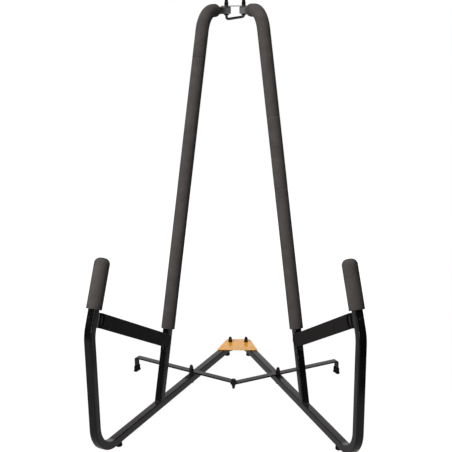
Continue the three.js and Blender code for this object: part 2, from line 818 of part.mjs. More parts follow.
// What holds a stay to the base tube
function stayHardware(label, side) {
  const underside = side < 0 ? upperStayLevel : lowerStayLevel;
  const boltSeat = footHeight - fitGap;
  const nutSeat = underside + stayThickness + fitGap;
  const spacerFoot = baseTop + fitGap;
  const spacer = cut(
    solid(cylinder(spacerRadius, spacerFoot, underside - fitGap)),
    drill(bolt.radius, spacerFoot - overrun, underside + overrun),
  );
  const shankTop = nutSeat + nut.bore - overrun - boltSeat;
  return [
    at(piece(`${label}_stay_bolt`, hexBolt(shankTop), 'brightZinc'), stayDistance, 0, boltSeat),
    at(piece(`${label}_stay_spacer`, spacer, 'plastic'), stayDistance, 0, 0),
    at(piece(`${label}_stay_nut`, boredCapNut(nut, bolt.radius), 'blackNickel'), stayDistance, 0, nutSeat),
  ];
}

function sideFrame(label, side) {
  const inward = -side;
  const strip = stripPlaces(label);
  const frame = new THREE.Group();
  frame.position.set(side * hingeHalfSpacing, 0, 0);
  frame.rotation.z = -Math.PI / 2 + side * openAngle;
  const centre = new THREE.Vector3(-side * hingeHalfSpacing, -stayCentre, 0)
    .applyAxisAngle(Z_AXIS, -frame.rotation.z);
  frame.add(
    baseTube(`${label}_base_tube`, strip),
    uprightTube(`${label}_upright_tube`, strip),
    hingePlug(`${label}_base_plug`, baseLevel, bolt.radius),
    hingePlug(`${label}_top_plug`, topHeight, linkRadius),
    armPlug(`${label}_arm_plug`),
    uprightFoam(`${label}_upright_foam`, strip, uprightFoamGaps[label], uprightFoamRuns[label]),
    armFoam(`${label}_arm_foam`, strip, armFoamGaps[label]),
    supportStrip(`${label}_support_strip`, inward, strip),
    supportPad(`${label}_support_pad`, inward, strip),
    ...stripFasteners(label, strip),
    foot(`${label}_front_foot`, frontFootDistance),
    foot(`${label}_rear_foot`, rearFootDistance),
    ...stayHardware(label, side),
    stay(label, side, centre),
  );
  return frame;
}

const stand = new THREE.Group();
stand.add(
  hingePlate(),
  topLinkStrap(),
  topLinkRod(),
  ...hingeHardware(-1, 'left'),
  ...hingeHardware(1, 'right'),
  sideFrame('left', -1),
  sideFrame('right', 1),
);

// The footprint's middle becomes the origin.
stand.updateMatrixWorld(true);
const extent = new THREE.Box3().setFromObject(stand, true);
stand.position.y = -(extent.min.y + extent.max.y) / 2;

const group = new THREE.Group();
group.add(stand);

export default group;
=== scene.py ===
import json
import math

import bmesh
import bpy
from mathutils import Matrix, Vector


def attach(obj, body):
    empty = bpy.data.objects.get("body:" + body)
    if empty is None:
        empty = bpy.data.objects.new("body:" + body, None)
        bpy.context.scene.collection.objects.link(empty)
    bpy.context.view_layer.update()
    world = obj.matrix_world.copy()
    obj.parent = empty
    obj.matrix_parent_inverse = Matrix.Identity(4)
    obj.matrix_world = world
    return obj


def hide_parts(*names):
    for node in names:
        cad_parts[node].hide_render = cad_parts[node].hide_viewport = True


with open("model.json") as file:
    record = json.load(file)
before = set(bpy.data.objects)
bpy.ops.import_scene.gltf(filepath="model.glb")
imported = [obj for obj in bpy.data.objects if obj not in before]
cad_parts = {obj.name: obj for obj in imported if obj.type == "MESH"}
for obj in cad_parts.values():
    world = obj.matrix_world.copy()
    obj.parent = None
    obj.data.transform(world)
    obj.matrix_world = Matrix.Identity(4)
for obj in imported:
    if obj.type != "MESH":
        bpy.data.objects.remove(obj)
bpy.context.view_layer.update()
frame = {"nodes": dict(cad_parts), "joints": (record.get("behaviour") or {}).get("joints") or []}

# Lengths are in millimetres until a finished piece is scaled to metres.
MM = 0.001

# The side frame: forward from its hinge axis, and up from the floor
HINGE_HALF_SPACING = 26.4
OPEN_ANGLE = math.radians(22.6)
FOOT_HEIGHT = 14
POST_DISTANCE = 787.6
POST_HEIGHT = 327.4
POST_LEAN = math.radians(0.8)
ARM_LEAN = math.radians(22.6)
ARM_LENGTH = 179.5
UPRIGHT_DISTANCE = 473.1
TOP_REACH = 147.25
TOP_HEIGHT = 1120
TUBE_OVERHANG = 6
TUBE_HALF = 11
TUBE_WALL = 1.5
TUBE_CORNER = 3
FRONT_BEND = 74
KINK_BEND = 90
TOP_BEND = 76
FIT_GAP = 0.3

# Foam: gaps above the strips, runs behind the top bends, and heights where lengths butt
UPRIGHT_FOAM_RADIUS = 19.3
UPRIGHT_FOAM_GAPS = {"left": 34.9, "right": 33.4}
UPRIGHT_FOAM_RUNS = {"left": 11, "right": 24}
UPRIGHT_FOAM_SEAMS = {"left": (987.7,), "right": (620.7, 821)}
ARM_FOAM_RADIUS = 19.8
ARM_FOAM_GAPS = {"left": 21.3, "right": 19.7}
ARM_FOAM_SLACK = 2.8
ARM_FOAM_ROOF = 9
ARM_FOAM_CROWN = 15

# Support strips, the tabs at their ends and their facings
STRIP_HALF = 19
STRIP_THICKNESS = 2.5
STRIP_ANGLE = math.radians(28.3)
STRIP_RISES = {"left": 37, "right": 41}
STRIP_END_SET_BACK = 22.2
STRIP_BEND = 8
STRIP_TAB_REACH = 8
REAR_TAB_DROPS = {"left": 17.7, "right": 20.9}
REAR_TAB_HALF = 9
REAR_TAB_EAR = 11
REAR_TAB_RISE = 26
FACING_THICKNESS = 3
FACING_MARGIN = 1
FACING_CUT_RADIUS = 22
FACING_CUT_SET_BACK = 10

# What joins the two frames at the hinge
PLATE_THICKNESS = 2.5
PLATE_CORNERS = [(-66.4, -68, 0), (66.4, -68, 0), (39, 22.5, 0), (-39, 22.5, 0)]
PLATE_CORNER_RADIUS = 5
DIMPLE_DISTANCE = 52
STRAP_THICKNESS = 2.5
STRAP_RADIUS = 17
TOP_WASHER_THICKNESS = 1.2
BASE_WASHER_THICKNESS = 1.4
BOLT_HOLE = 4.3
LINK_RADIUS = 4
LINK_DROPS = {"left": 15.5, "right": 8.2}

# Stays and feet: places forward from the hinge axis
STAY_DISTANCE = 276.2
STAY_CENTRE = 327.7
STAY_TIP_REACH = 210.8
STAY_WIDTH = 19
STAY_THICKNESS = 4.5
STAY_BEND = 5
SPACER_HEIGHT = 2.6
FRONT_FOOT_DISTANCE = 686
REAR_FOOT_DISTANCE = 25
BOOT_FLOOR = 4

SIDES = {"left": -1, "right": 1}

# Levels and points that follow from them
BASE_LEVEL = FOOT_HEIGHT + TUBE_HALF
BASE_TOP = FOOT_HEIGHT + 2 * TUBE_HALF
PLATE_LEVEL = BASE_TOP + FIT_GAP
STRAP_LEVEL = TOP_HEIGHT + TUBE_HALF + FIT_GAP
TOP_WASHER_LEVEL = STRAP_LEVEL + STRAP_THICKNESS + FIT_GAP
TOP_NUT_LEVEL = TOP_WASHER_LEVEL + TOP_WASHER_THICKNESS + FIT_GAP
STAY_LEVELS = {"right": BASE_TOP + SPACER_HEIGHT + 2 * FIT_GAP}
STAY_LEVELS["left"] = STAY_LEVELS["right"] + STAY_THICKNESS + 0.5


def forward_up(x, z):
    """A point or direction in the upright plane of a side frame."""
    return Vector((x, 0, z))


POST_FOOT = forward_up(POST_DISTANCE, BASE_LEVEL)
KINK = forward_up(POST_DISTANCE + POST_HEIGHT * math.tan(POST_LEAN), BASE_LEVEL + POST_HEIGHT)
ARM_UP = forward_up(-math.sin(ARM_LEAN), math.cos(ARM_LEAN))
ARM_FORWARD = forward_up(math.cos(ARM_LEAN), math.sin(ARM_LEAN))
ARM_END = KINK + ARM_UP * ARM_LENGTH
UPRIGHT_FOOT = forward_up(UPRIGHT_DISTANCE, BASE_LEVEL)
UPRIGHT_LEAN = math.atan2(UPRIGHT_DISTANCE - TOP_REACH, TOP_HEIGHT - BASE_LEVEL)
UPRIGHT_UP = forward_up(-math.sin(UPRIGHT_LEAN), math.cos(UPRIGHT_LEAN))
UPRIGHT_FORWARD = forward_up(math.cos(UPRIGHT_LEAN), math.sin(UPRIGHT_LEAN))
TOP_CORNER = forward_up(TOP_REACH, TOP_HEIGHT)
STRIP_BACK = forward_up(-math.cos(STRIP_ANGLE), -math.sin(STRIP_ANGLE))
STRIP_UP = forward_up(-math.sin(STRIP_ANGLE), math.cos(STRIP_ANGLE))


def along_to(origin, direction, height):
    return origin + direction * ((height - origin.z) / direction.z)


def crossing(origin, direction, other_origin, other_direction):
    """The point where two lines of the frame's plane cross."""
    gap = other_origin - origin
    turn = direction.x * other_direction.z - direction.z * other_direction.x
    return origin + direction * ((gap.x * other_direction.z - gap.z * other_direction.x) / turn)


# Where each strip crosses the arm and the upright, and where its rear tab is screwed on
STRIP_ON_ARM = {side: along_to(KINK, ARM_UP, KINK.z + rise) for side, rise in STRIP_RISES.items()}
STRIP_ON_UPRIGHT = {
    side: crossing(place, STRIP_BACK, UPRIGHT_FOOT, UPRIGHT_UP)
    for side, place in STRIP_ON_ARM.items()
}
REAR_TAB = {
    side: along_to(UPRIGHT_FOOT, UPRIGHT_UP, STRIP_ON_UPRIGHT[side].z - drop)
    for side, drop in REAR_TAB_DROPS.items()
}

HINGE_Y = frame["joints"][0]["pos_m"][1] / MM


def side_place(side):
    """Carries a side frame's own lengths to its place on the stand."""
    sign = SIDES[side]
    turn = Matrix.Rotation(-math.pi / 2 + sign * OPEN_ANGLE, 4, "Z")
    return Matrix.Translation((sign * HINGE_HALF_SPACING, HINGE_Y, 0)) @ turn


HINGE_PLACE = Matrix.Translation((0, HINGE_Y, 0))


def raised(place, height):
    return place @ Matrix.Translation((0, 0, height))


# Camera, fitted to the photograph

FOCAL_LENGTH = 67.459
SENSOR_WIDTH = 36
LENS_SHIFT = (-0.012489, -0.031805)
EYE = (0.122133, -2.295612, 1.127760)
YAW, PITCH, ROLL = 0.0524, 0.2363, -0.0109

camera_data = bpy.data.cameras.new("camera")
camera_data.sensor_width = SENSOR_WIDTH
camera_data.lens = FOCAL_LENGTH
camera_data.shift_x, camera_data.shift_y = LENS_SHIFT
camera = bpy.data.objects.new("camera", camera_data)
bpy.context.scene.collection.objects.link(camera)
camera.matrix_world = (
    Matrix.Translation(EYE)
    @ Matrix.Rotation(YAW, 4, "Z")
    @ Matrix.Rotation(math.pi / 2 - PITCH, 4, "X")
    @ Matrix.Rotation(ROLL, 4, "Z")
)
bpy.context.scene.camera = camera


# Materials


def linear(code):
    """The linear colour of an sRGB hex code."""
    parts = [int(code[i:i + 2], 16) / 255 for i in (0, 2, 4)]
    return [p / 12.92 if p <= 0.04045 else ((p + 0.055) / 1.055) ** 2.4 for p in parts] + [1]


def add(tree, kind, inputs=(), **settings):
    """Adds a node with its settings; a node given as an input stands for its first live output."""
    made = tree.nodes.new("ShaderNode" + kind)
    for name, value in settings.items():
        setattr(made, name, value)
    for name, value in dict(inputs).items():
        if isinstance(value, bpy.types.Node):
            value = next(socket for socket in value.outputs if socket.enabled)
        if isinstance(value, bpy.types.NodeSocket):
            tree.links.new(value, made.inputs[name])
        else:
            made.inputs[name].default_value = value
    return made


def new_material(name):
    """An empty material, with the coordinates that its patterns hang on."""
    material = bpy.data.materials.new(name)
    material.use_nodes = True
    tree = material.node_tree
    tree.nodes.clear()
    return material, tree, add(tree, "TexCoord").outputs["Object"]


def metre_scale(size):
    """The noise scale whose grains are about this many millimetres wide."""
    return 1 / (size * MM)


def two_tone(tree, pattern, low, high, dark, light):
    """A colour between two shades, by where a pattern lies between two values."""
    share = add(tree, "MapRange", {"Value": pattern, "From Min": low, "From Max": high})
    return add(tree, "Mix", {0: share, 6: linear(dark), 7: linear(light)}, data_type="RGBA")


def surfaced(material, tree, colour, roughness, relief, looks):
    """Ends a material. Roughness is a pattern and its range, relief a height and its bump."""
    pattern, smoothest, roughest = roughness
    uneven = add(tree, "MapRange", {
        "Value": pattern, "From Min": 0.3, "From Max": 0.7, "To Min": smoothest,
        "To Max": roughest,
    })
    height, strength, depth = relief
    bump = add(tree, "Bump", {"Height": height, "Strength": strength, "Distance": depth})
    shader = add(tree, "BsdfPrincipled", {
        "Base Color": colour, "Roughness": uneven, "Normal": bump, **looks,
    })
    add(tree, "OutputMaterial", {"Surface": shader})
    return material


def powder_coat_material():
    # Polyester powder coat baked on steel: near black, satin, with the slight orange peel that
    #     # breaks a highlight's edge, and a grey on what faces up: partly thin dry dust, partly
    #     painted
    #     # light on the tops.
    material, tree, place = new_material("satin_black_powder_coat")
    peel = add(tree, "TexNoise", {"Vector": place, "Scale": metre_scale(1.6), "Detail": 2.0})
    clouds = add(tree, "TexNoise", {"Vector": place, "Scale": metre_scale(45), "Detail": 3.0})
    up = add(tree, "SeparateXYZ", {0: add(tree, "NewGeometry").outputs["Normal"]}).outputs["Z"]
    upturned = add(tree, "MapRange", {
        "Value": up, "From Min": 0.6, "From Max": 1.0, "To Min": 0.0, "To Max": 1.0,
    })
    patchy_share = add(tree, "MapRange", {
        "Value": clouds, "From Min": 0.3, "From Max": 0.7, "To Min": 0.35, "To Max": 1.0,
    })
    # Faces that point up are painted lighter in patches: partly dust, partly painted light on the
    # tops
    dust_and_top_light = add(tree, "Math", {0: upturned, 1: patchy_share}, operation="MULTIPLY")
    base = two_tone(tree, clouds, 0.35, 0.65, "060606", "0c0b0b")
    colour = add(tree, "Mix", {0: dust_and_top_light, 6: base, 7: linear("24201f")}, data_type="RGBA")
    return surfaced(
        material, tree, colour, (clouds, 0.2, 0.28), (peel, 0.25, 0.00004),
        {"Specular IOR Level": 0.46, "Specular Tint": linear("fbeff1")},
    )


def foam_material():
    # Closed-cell NBR foam, extruded as a sleeve: charcoal, quite matt, with open cut cells. They
    # are drawn about three times as coarse as real ones, which reads as a fine grain.
    material, tree, place = new_material("charcoal_nbr_foam")
    cells = add(tree, "TexVoronoi", {"Vector": place, "Scale": metre_scale(2.2)}, feature="F1")
    grain = add(tree, "TexNoise", {
        "Vector": place, "Scale": metre_scale(1.2), "Detail": 4.0, "Roughness": 0.7,
    })
    handling = add(tree, "TexNoise", {"Vector": place, "Scale": metre_scale(38), "Detail": 3.0})
    base = two_tone(tree, handling, 0.35, 0.65, "3a3736", "44403e")
    specks = add(tree, "MapRange", {
        "Value": grain, "From Min": 0.45, "From Max": 0.75, "To Min": 0.0, "To Max": 0.55,
    })
    colour = add(tree, "Mix", {0: specks, 6: base, 7: linear("524d4b")}, data_type="RGBA")
    height = add(tree, "Math", {0: cells.outputs["Distance"], 1: grain}, operation="ADD")
    return surfaced(
        material, tree, colour, (grain, 0.82, 0.98), (height, 0.5, 0.0006),
        {"Specular IOR Level": 0.2, "Sheen Weight": 0.06, "Sheen Roughness": 0.5,
         "Sheen Tint": linear("8f8a86")},
    )


def moulded_plastic_material():
    # Polypropylene, injection moulded in a lightly sparked tool: dark grey with a soft broad shine.
    material, tree, place = new_material("moulded_polypropylene")
    grain = add(tree, "TexNoise", {"Vector": place, "Scale": metre_scale(0.9), "Detail": 3.0})
    flow = add(tree, "TexNoise", {"Vector": place, "Scale": metre_scale(14), "Detail": 2.0})
    colour = two_tone(tree, flow, 0.35, 0.65, "171615", "211f1e")
    return surfaced(
        material, tree, colour, (grain, 0.42, 0.56), (grain, 0.3, 0.00015),
        {"Specular IOR Level": 0.45},
    )


def rubber_material():
    # Natural rubber with carbon black, press moulded: deep black, with a dull bloom and floor dust.
    material, tree, place = new_material("moulded_black_rubber")
    bloom = add(tree, "TexNoise", {"Vector": place, "Scale": metre_scale(9), "Detail": 4.0})
    grain = add(tree, "TexNoise", {"Vector": place, "Scale": metre_scale(0.8), "Detail": 2.0})
    colour = two_tone(tree, bloom, 0.4, 0.7, "060606", "121110")
    return surfaced(
        material, tree, colour, (bloom, 0.6, 0.8), (grain, 0.35, 0.0002),
        {"Specular IOR Level": 0.2},
    )


def facing_material():
    # Neoprene rubber sheet with a fine pressed cloth texture, glued to the strip: even, dry black.
    material, tree, place = new_material("neoprene_sheet")
    pressed = add(tree, "TexVoronoi", {"Vector": place, "Scale": metre_scale(1.4)}, feature="F1")
    wear = add(tree, "TexNoise", {"Vector": place, "Scale": metre_scale(22), "Detail": 4.0})
    colour = two_tone(tree, wear, 0.38, 0.68, "100e0e", "1a1716")
    return surfaced(
        material, tree, colour, (wear, 0.66, 0.84), (pressed.outputs["Distance"], 0.4, 0.0003),
        {"Specular IOR Level": 0.25},
    )


def yellow_zinc_material():
    # Mild steel, zinc plated, yellow passivated and sealed: deep gold with a trace of rose where
    # the chromate film is thicker, over faint rolling lines, under a clear glossy skin.
    material, tree, place = new_material("yellow_passivated_zinc")
    film = add(tree, "TexNoise", {"Vector": place, "Scale": metre_scale(26), "Detail": 3.0})
    along = add(tree, "Mapping", {"Vector": place, "Scale": (0.06, 1.0, 1.0)})
    rolling = add(tree, "TexNoise", {"Vector": along, "Scale": metre_scale(0.9), "Detail": 2.0})
    gold = two_tone(tree, film, 0.32, 0.6, "f6a820", "f9b332")
    thick = add(tree, "MapRange", {
        "Value": film, "From Min": 0.6, "From Max": 0.8, "To Min": 0.0, "To Max": 0.5,
    })
    colour = add(tree, "Mix", {0: thick, 6: gold, 7: linear("f6a64a")}, data_type="RGBA")
    return surfaced(
        material, tree, colour, (rolling, 0.54, 0.64), (rolling, 0.1, 0.00002),
        {"Metallic": 0.2, "Coat Weight": 1.0, "Coat Roughness": 0.16, "Coat IOR": 1.65},
    )


def plated_metal_material(name, dark, light, roughness, blur):
    """Plated steel, between two shades and as rough as told, give or take the blur."""
    material, tree, place = new_material(name)
    film = add(tree, "TexNoise", {"Vector": place, "Scale": metre_scale(5), "Detail": 3.0})
    marks = add(tree, "TexNoise", {"Vector": place, "Scale": metre_scale(0.6), "Detail": 3.0})
    colour = two_tone(tree, film, 0.35, 0.65, dark, light)
    return surfaced(
        material, tree, colour, (marks, roughness - blur, roughness + blur),
        (marks, 0.12, 0.00006), {"Metallic": 1.0},
    )


powder_coat = powder_coat_material()
foam = foam_material()
plastic = moulded_plastic_material()
rubber = rubber_material()
facing = facing_material()
yellow_zinc = yellow_zinc_material()
# Steel, zinc plated and clear passivated: a cool silver that mirrors softly
bright_zinc = plated_metal_material("clear_passivated_zinc", "b9bcbe", "d6d8d8", 0.28, 0.06)
# Steel, nickel plated and blackened: a dark mirror that gives sharp small highlights
black_nickel = plated_metal_material("black_nickel_plate", "3c3635", "4d4643", 0.24, 0.04)
# Steel, black zinc plated: charcoal with a dull metallic shine
black_zinc = plated_metal_material("black_zinc_plate", "5b5553", "6d6663", 0.5, 0.06)


# Making and finishing of pieces


def with_round_corners(bm, verts, radius, segments):
    """Rounds corners of a flat face and gives the face."""
    made = bmesh.ops.bevel(
        bm, geom=verts, offset=radius, segments=segments, profile=0.5, affect="VERTICES",
        material=-1,
    )
    return max(made["verts"][0].link_faces, key=lambda f: len(f.verts))


def rectangle(bm, half_x, half_y):
    """A level flat rectangle about the origin; gives its corners."""
    verts = bmesh.ops.create_grid(bm, x_segments=1, y_segments=1, size=1)["verts"]
    bmesh.ops.scale(bm, verts=verts, vec=(half_x, half_y, 1))
    return verts


def rounded_rectangle(bm, half_x, half_y, corner, segments):
    return with_round_corners(bm, rectangle(bm, half_x, half_y), corner, segments)


def open_outline(bm, face):
    """Takes a face out of its outline and gives the outline's edges."""
    edges = face.edges[:]
    bmesh.ops.delete(bm, geom=[face], context="FACES_ONLY")
    return edges


def circle_outline(bm, radius, segments):
    made = bmesh.ops.create_circle(bm, cap_ends=False, radius=radius, segments=segments)["verts"]
    return list({edge for vert in made for edge in vert.link_edges})


def verts_of(edges):
    return list({vert for edge in edges for vert in edge.verts})


def set_upright(bm, edges, place, direction):
    """Moves an outline from the level plane, x forward, to a place across a direction."""
    across = Vector((0, 1, 0))
    level = Matrix((across.cross(direction), across, direction)).transposed().to_4x4()
    bmesh.ops.transform(bm, matrix=Matrix.Translation(place) @ level, verts=verts_of(edges))


def of_kind(made, kind):
    return [item for item in made if isinstance(item, kind)]


def extend(bm, edges, move):
    """Draws an outline out along a straight line and gives its new edges."""
    made = bmesh.ops.extrude_edge_only(bm, edges=edges)["geom"]
    bmesh.ops.translate(bm, verts=of_kind(made, bmesh.types.BMVert), vec=move)
    return of_kind(made, bmesh.types.BMEdge)


def swing(bm, edges, centre, axis, angle, steps):
    """Draws an outline round an arc and gives its last edges."""
    made = bmesh.ops.spin(
        bm, geom=edges, cent=centre, axis=axis, angle=angle, steps=steps,
        use_merge=False, use_normal_flip=False, use_duplicate=False,
    )["geom_last"]
    return of_kind(made, bmesh.types.BMEdge)


def bend_at(before, corner, after, radius):
    """Where the arc that rounds a corner starts, its centre, its turn and where it ends."""
    arriving = (corner - before).normalized()
    leaving = (after - corner).normalized()
    turn = math.atan2(arriving.x * leaving.z - arriving.z * leaving.x, arriving.dot(leaving))
    reach = radius * math.tan(abs(turn) / 2)
    start = corner - arriving * reach
    side = forward_up(-arriving.z, arriving.x) * math.copysign(radius, turn)
    return start, start + side, turn, corner + leaving * reach


def draw_tube(bm, edges, places, radii, bend_step=math.radians(6)):
    """Draws an outline through places of the frame's plane, with arcs at the inner ones."""
    place = places[0]
    for i, radius in enumerate(radii + [0]):
        if radius:
            start, centre, turn, end = bend_at(places[i], places[i + 1], places[i + 2], radius)
        else:
            start = places[i + 1]
        edges = extend(bm, edges, start - place)
        if radius:
            steps = max(2, round(abs(turn) / bend_step))
            edges = swing(bm, edges, centre, (0, -1, 0), turn, steps)
            place = end
    return edges


def closed_up(bm, edges):
    bmesh.ops.contextual_create(bm, geom=edges)


def turned(bm, profile, segments=48):
    """Spins a profile of radius and height pairs about the upright axis into a closed shape."""
    verts = [bm.verts.new((radius, 0, height)) for radius, height in profile]
    edges = [bm.edges.new(pair) for pair in zip(verts, verts[1:])]
    bmesh.ops.spin(
        bm, geom=verts + edges, cent=(0, 0, 0), axis=(0, 0, 1), angle=2 * math.pi,
        steps=segments, use_merge=True, use_normal_flip=False, use_duplicate=False,
    )
    bmesh.ops.remove_doubles(bm, verts=bm.verts[:], dist=0.0005)


def thickened(bm, face, move):
    """Draws a flat face out into a slab."""
    made = bmesh.ops.extrude_face_region(bm, geom=[face])["geom"]
    bmesh.ops.translate(bm, verts=of_kind(made, bmesh.types.BMVert), vec=move)


def eased(bm, width, segments=2, edges=None):
    """Breaks the given edges of a shape, or else all its sharp ones."""
    if not edges:
        sharp = math.radians(30)
        edges = [e for e in bm.edges if e.is_manifold and e.calc_face_angle(0) > sharp]
    bmesh.ops.bevel(
        bm, geom=edges, offset=width, segments=segments, profile=0.5,
        affect="EDGES", material=-1, clamp_overlap=True,
    )


def pointed_outwards(bm):
    """Joins what meets and turns all faces outwards."""
    bmesh.ops.remove_doubles(bm, verts=bm.verts[:], dist=0.0005)
    bmesh.ops.recalc_face_normals(bm, faces=bm.faces[:])


def rough_mesh(bm):
    """Hands a shape over as a mesh in millimetres."""
    pointed_outwards(bm)
    mesh = bpy.data.meshes.new("rough")
    bm.to_mesh(mesh)
    bm.free()
    return mesh


def turned_mesh(profile, segments=48):
    bm = bmesh.new()
    turned(bm, profile, segments)
    return rough_mesh(bm)


def combined(first, second, how):
    """Two closed meshes made one by a Boolean."""
    holder = bpy.data.objects.new("holder", first)
    tool = bpy.data.objects.new("tool", second)
    for item in (holder, tool):
        bpy.context.scene.collection.objects.link(item)
    modifier = holder.modifiers.new("combine", "BOOLEAN")
    modifier.operation = how
    modifier.object = tool
    modifier.solver = "EXACT"
    graph = bpy.context.evaluated_depsgraph_get()
    result = bpy.data.meshes.new_from_object(holder.evaluated_get(graph))
    for item in (holder, tool):
        bpy.data.objects.remove(item)
    return result


def bored(body, place, radius, low, high):
    """Cuts a round upright hole between two heights."""
    hole = turned_mesh([(0, low), (radius, low), (radius, high), (0, high)], 32)
    hole.transform(Matrix.Translation(place))
    return combined(body, hole, "DIFFERENCE")


def level_flats(piece):
    piece.modifiers.new("level flats", "WEIGHTED_NORMAL").keep_sharp = True


def finished(name, mesh, place, material, body, node, smooth=30, levelled=True):
    """Puts a piece in its place on the stand, in metres, and hands it to its body."""
    mesh.transform(Matrix.Scale(MM, 4) @ place)
    mesh.name = name
    mesh.materials.clear()
    mesh.materials.append(material)
    mesh.shade_smooth()
    mesh.set_sharp_from_angle(angle=math.radians(smooth))
    piece = bpy.data.objects.new(name, mesh)
    bpy.context.scene.collection.objects.link(piece)
    if levelled:
        level_flats(piece)
    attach(piece, body)
    if node:
        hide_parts(*(node if isinstance(node, tuple) else (node,)))
    return piece


# Side frames: tubes, caps and foam


def square_tube(name, side, places, radii, node, foot_level=0):
    """A bent square tube; one that is welded on another is cut off level at its foot."""
    bm = bmesh.new()
    edges = open_outline(bm, rounded_rectangle(bm, TUBE_HALF, TUBE_HALF, TUBE_CORNER, 4))
    set_upright(bm, edges, places[0], (places[1] - places[0]).normalized())
    draw_tube(bm, edges, places, radii)
    if foot_level:
        bmesh.ops.bisect_plane(
            bm, geom=bm.verts[:] + bm.edges[:] + bm.faces[:], plane_co=(0, 0, foot_level),
            plane_no=(0, 0, 1), clear_inner=True,
        )
    mesh = rough_mesh(bm)
    piece = finished(name, mesh, side_place(side), powder_coat, f"{side}_frame", node, 40, False)
    wall = piece.modifiers.new("tube wall", "SOLIDIFY")
    wall.thickness = TUBE_WALL * MM
    wall.offset = -1
    level_flats(piece)


def weld(side):
    """The fillet of the weld before and behind the upright's foot; its sides are ground flush."""
    bm = bmesh.new()
    bead_reach, ground_back, sunk = 2.6, 0.7, 0.3
    half_length = TUBE_HALF / math.cos(UPRIGHT_LEAN) + bead_reach
    edges = rounded_rectangle(bm, half_length, TUBE_HALF - ground_back, 3, 6).edges[:]
    for rise, shrink in ((0.6, 0.965), (0.8, 0.945), (1.2, 0.93)):
        edges = extend(bm, edges, (0, 0, rise))
        bmesh.ops.scale(bm, verts=verts_of(edges), vec=(shrink, 0.985, 1))
    closed_up(bm, edges)
    foot_at = along_to(UPRIGHT_FOOT, UPRIGHT_UP, BASE_TOP)
    place = side_place(side) @ Matrix.Translation((foot_at.x, 0, BASE_TOP - sunk))
    finished(f"{side}_weld", rough_mesh(bm), place, powder_coat, f"{side}_frame", None, 60)


def end_cap(name, side, level, node):
    """A moulded cap on a tube's rear end, slightly crowned, with its stub inside the tube."""
    rim_height, stub_length = 2.2, 16
    bm = bmesh.new()
    face = rounded_rectangle(bm, TUBE_HALF, TUBE_HALF, TUBE_CORNER, 4)
    thickened(bm, face, (0, 0, rim_height))
    bmesh.ops.translate(bm, verts=bm.verts[:], vec=(0, 0, FIT_GAP))
    top = max(bm.faces, key=lambda f: f.calc_center_median().z)
    for inset, rise in ((0.7, 0.4), (1.6, 0.3)):
        bmesh.ops.inset_region(bm, faces=[top], thickness=inset, depth=0)
        bmesh.ops.translate(bm, verts=top.verts[:], vec=(0, 0, rise))
    bottom = min(bm.faces, key=lambda f: f.calc_center_median().z)
    bmesh.ops.inset_region(bm, faces=[bottom], thickness=TUBE_WALL + FIT_GAP, depth=0)
    outline = open_outline(bm, bottom)
    closed_up(bm, extend(bm, outline, (0, 0, -stub_length)))
    turn = Matrix.Translation((-TUBE_OVERHANG, 0, level)) @ Matrix.Rotation(-math.pi / 2, 4, "Y")
    mesh = rough_mesh(bm)
    finished(name, mesh, side_place(side) @ turn, plastic, f"{side}_frame", node, 50)


def foam_hollow(bm):
    """The square outline of a sleeve's inside."""
    half = TUBE_HALF + FIT_GAP
    return open_outline(bm, rounded_rectangle(bm, half, half, 3, 3))


def shrunk(bm, edges, centre, size):
    bmesh.ops.scale(
        bm, verts=verts_of(edges), vec=(size, size, size), space=Matrix.Translation(-centre),
    )


def upright_foam(side):
    """A foam sleeve slid over the upright and round its top bend, butted where lengths meet."""
    start = along_to(UPRIGHT_FOOT, UPRIGHT_UP, STRIP_ON_UPRIGHT[side].z + UPRIGHT_FOAM_GAPS[side])
    bend = bend_at(start, TOP_CORNER, forward_up(-TUBE_OVERHANG, TOP_HEIGHT), TOP_BEND)
    end = bend[3] - forward_up(UPRIGHT_FOAM_RUNS[side], 0)
    ring_gap, bend_steps = 14, 16
    shoulder, waist, seam = 0.9, 0.945, 0.3
    bm = bmesh.new()
    outside = circle_outline(bm, UPRIGHT_FOAM_RADIUS, 48)
    inside = foam_hollow(bm)
    direction = (TOP_CORNER - start).normalized()
    ends = []
    for edges in (outside, inside):
        set_upright(bm, edges, start, direction)
        places = [start] + [along_to(start, direction, z) for z in UPRIGHT_FOAM_SEAMS[side]]
        run = edges
        for place, following in zip(places, places[1:] + [bend[0]]):
            reach = following - place
            count = max(1, round(reach.length / ring_gap))
            if edges is outside and place is not start:
                run = extend(bm, run, direction * shoulder)
                reach = reach - direction * shoulder
            seam_follows = edges is outside and following is not bend[0]
            if seam_follows:
                reach = reach - direction * shoulder
            for _ in range(count):
                run = extend(bm, run, reach / count)
            if seam_follows:
                run = extend(bm, run, direction * shoulder)
                shrunk(bm, run, following, waist)
                run = extend(bm, run, direction * seam)
                shrunk(bm, run, following + direction * seam, 1 / waist)
        run = swing(bm, run, bend[1], (0, -1, 0), bend[2], bend_steps)
        run = extend(bm, run, end - bend[3])
        ends.append(run)
    bmesh.ops.bridge_loops(bm, edges=outside + inside)
    bmesh.ops.bridge_loops(bm, edges=ends[0] + ends[1])
    rims = [e for e in outside + ends[0] if e.is_valid]
    eased(bm, 0.9, 2, rims)
    piece = finished(
        f"{side}_upright_sleeve", rough_mesh(bm), side_place(side), foam, f"{side}_frame",
        f"{side}_upright_foam", 60, False,
    )


